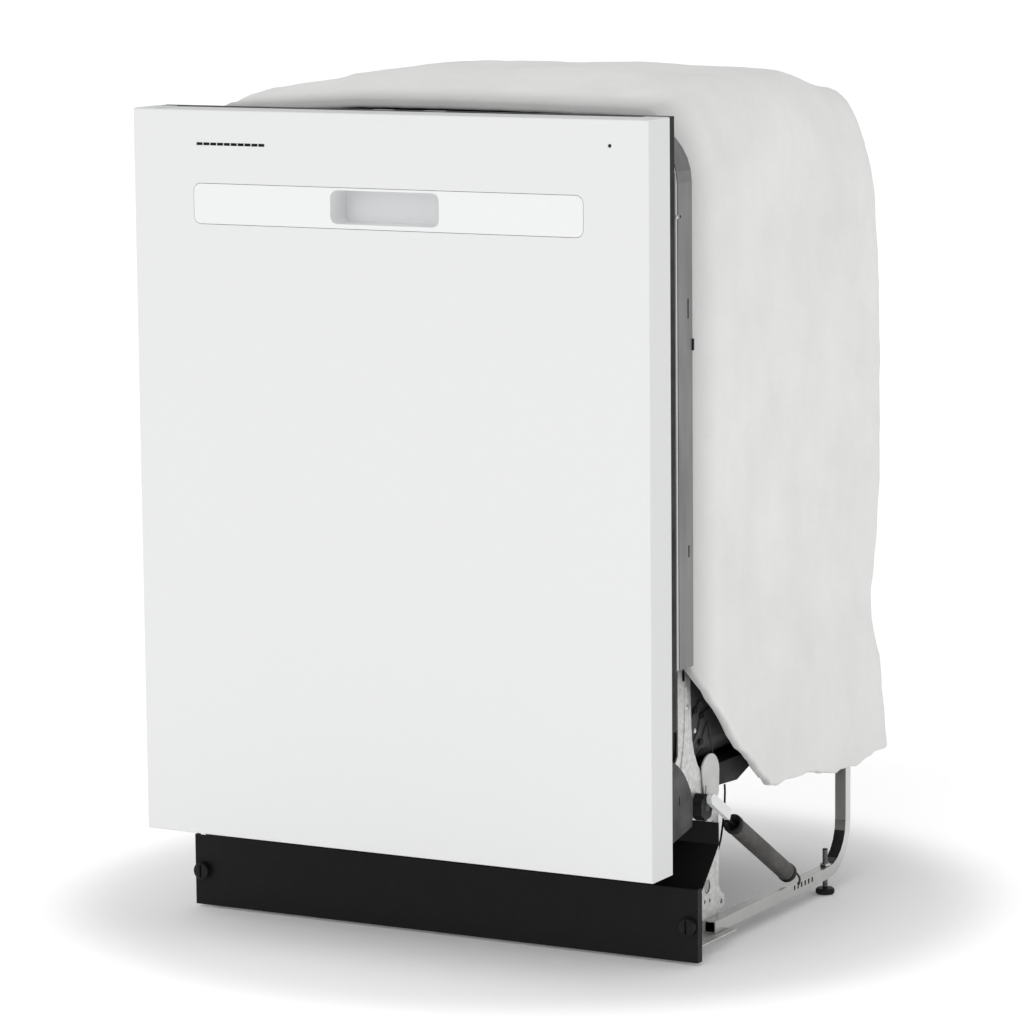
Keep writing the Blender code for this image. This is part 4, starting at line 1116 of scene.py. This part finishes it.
def make_box_details():
    """Two screws on the junction box's front and the flange of its rear lid."""
    low, high = corners("junction_box")
    spots = ((low.x + 0.010, low.z + 0.008), (high.x - 0.010, high.z - 0.008))
    for i, (x, z) in enumerate(spots):
        head = rivet(f"box_screw_{i + 1}", Vector((x, low.y, z)), FACING_FRONT, 0.0040, 0.0016)
        keep(head, "chassis", "galvanised_steel", "bright_steel")
    rear = high.y - FRONT_Y
    proud = 0.0015
    lid = blocks("box_lid_flange",
                 [((low.x - proud, high.x + proud), (rear, rear + 0.0012),
                   (low.z - proud, high.z + proud))], 0.0004)
    keep(lid, "chassis", "galvanised_steel")


# ----------------------------------------------------------------------- stage

SKY_STRENGTH = 0.60
SUN_STRENGTH = 0.80
SUN_SPREAD = math.radians(55)
SUN_SHINES = Vector((0.02, 0.83, -0.55))


def floor_look():
    """A pale floor whose faint glow fades towards the object: a painted shadow round it, in which
    its cast shadow shows.
    """
    floor_mat = Finish("floor", (0.97, 0.97, 0.97), 0.90)
    floor_mat.tint(floor_mat.noise(0.8, 2.0), 0.995, 1.0)
    floor_mat.set("Emission Color", (1.0, 1.0, 1.0, 1.0))
    # Painted shadow: the floor's glow falls to a low value near the object.
    painted_shadow_falloff = floor_mat.tree.nodes.new("ShaderNodeTexGradient")
    painted_shadow_falloff.gradient_type = "SPHERICAL"
    floor_mat.link(floor_mat.stretched((1.7, 1.7, 1.7)), painted_shadow_falloff.inputs["Vector"])
    glow_with_painted_shadow = floor_mat.node("ShaderNodeMapRange", From_Max=0.30, To_Min=0.38, To_Max=0.10)
    glow_with_painted_shadow.interpolation_type = "SMOOTHERSTEP"
    floor_mat.link(painted_shadow_falloff.outputs["Fac"], glow_with_painted_shadow.inputs["Value"])
    floor_mat.link(glow_with_painted_shadow.outputs["Result"], floor_mat.shader.inputs["Emission Strength"])
    return floor_mat.mat


def make_floor():
    """A wide floor just under the feet."""
    reach, level = 40.0, -0.0005
    data = bpy.data.meshes.new("floor")
    data.from_pydata([(-reach, -reach, level), (reach, -reach, level),
                      (reach, reach, level), (-reach, reach, level)], [], [(0, 1, 2, 3)])
    floor = new_object("floor", data)
    data.materials.append(floor_look())


def make_light():
    """An even white sky and one broad soft sun from the front, above the door."""
    world = bpy.data.worlds.new("studio")
    world.use_nodes = True
    background = world.node_tree.nodes["Background"]
    background.inputs["Color"].default_value = (1.0, 1.0, 1.0, 1.0)
    background.inputs["Strength"].default_value = SKY_STRENGTH
    bpy.context.scene.world = world
    bpy.context.scene.view_settings.view_transform = "Standard"
    data = bpy.data.lights.new("soft_sun", "SUN")
    data.energy = SUN_STRENGTH
    data.angle = SUN_SPREAD
    sun = bpy.data.objects.new("soft_sun", data)
    bpy.context.scene.collection.objects.link(sun)
    sun.matrix_world = SUN_SHINES.to_track_quat("-Z", "Y").to_matrix().to_4x4()


make_camera()
make_lead()
paint_cad()
make_blanket()
make_collar_details()
make_wear_plates()
make_bracket_details()
make_vent_grille()
make_indicator()
make_corner_folds()
make_springs()
make_feet()
make_taped_leads()
make_rack_details()
make_spray_nozzles()
make_liner_details()
make_motor_fins()
make_water_ways()
make_box_details()
make_floor()
make_light()
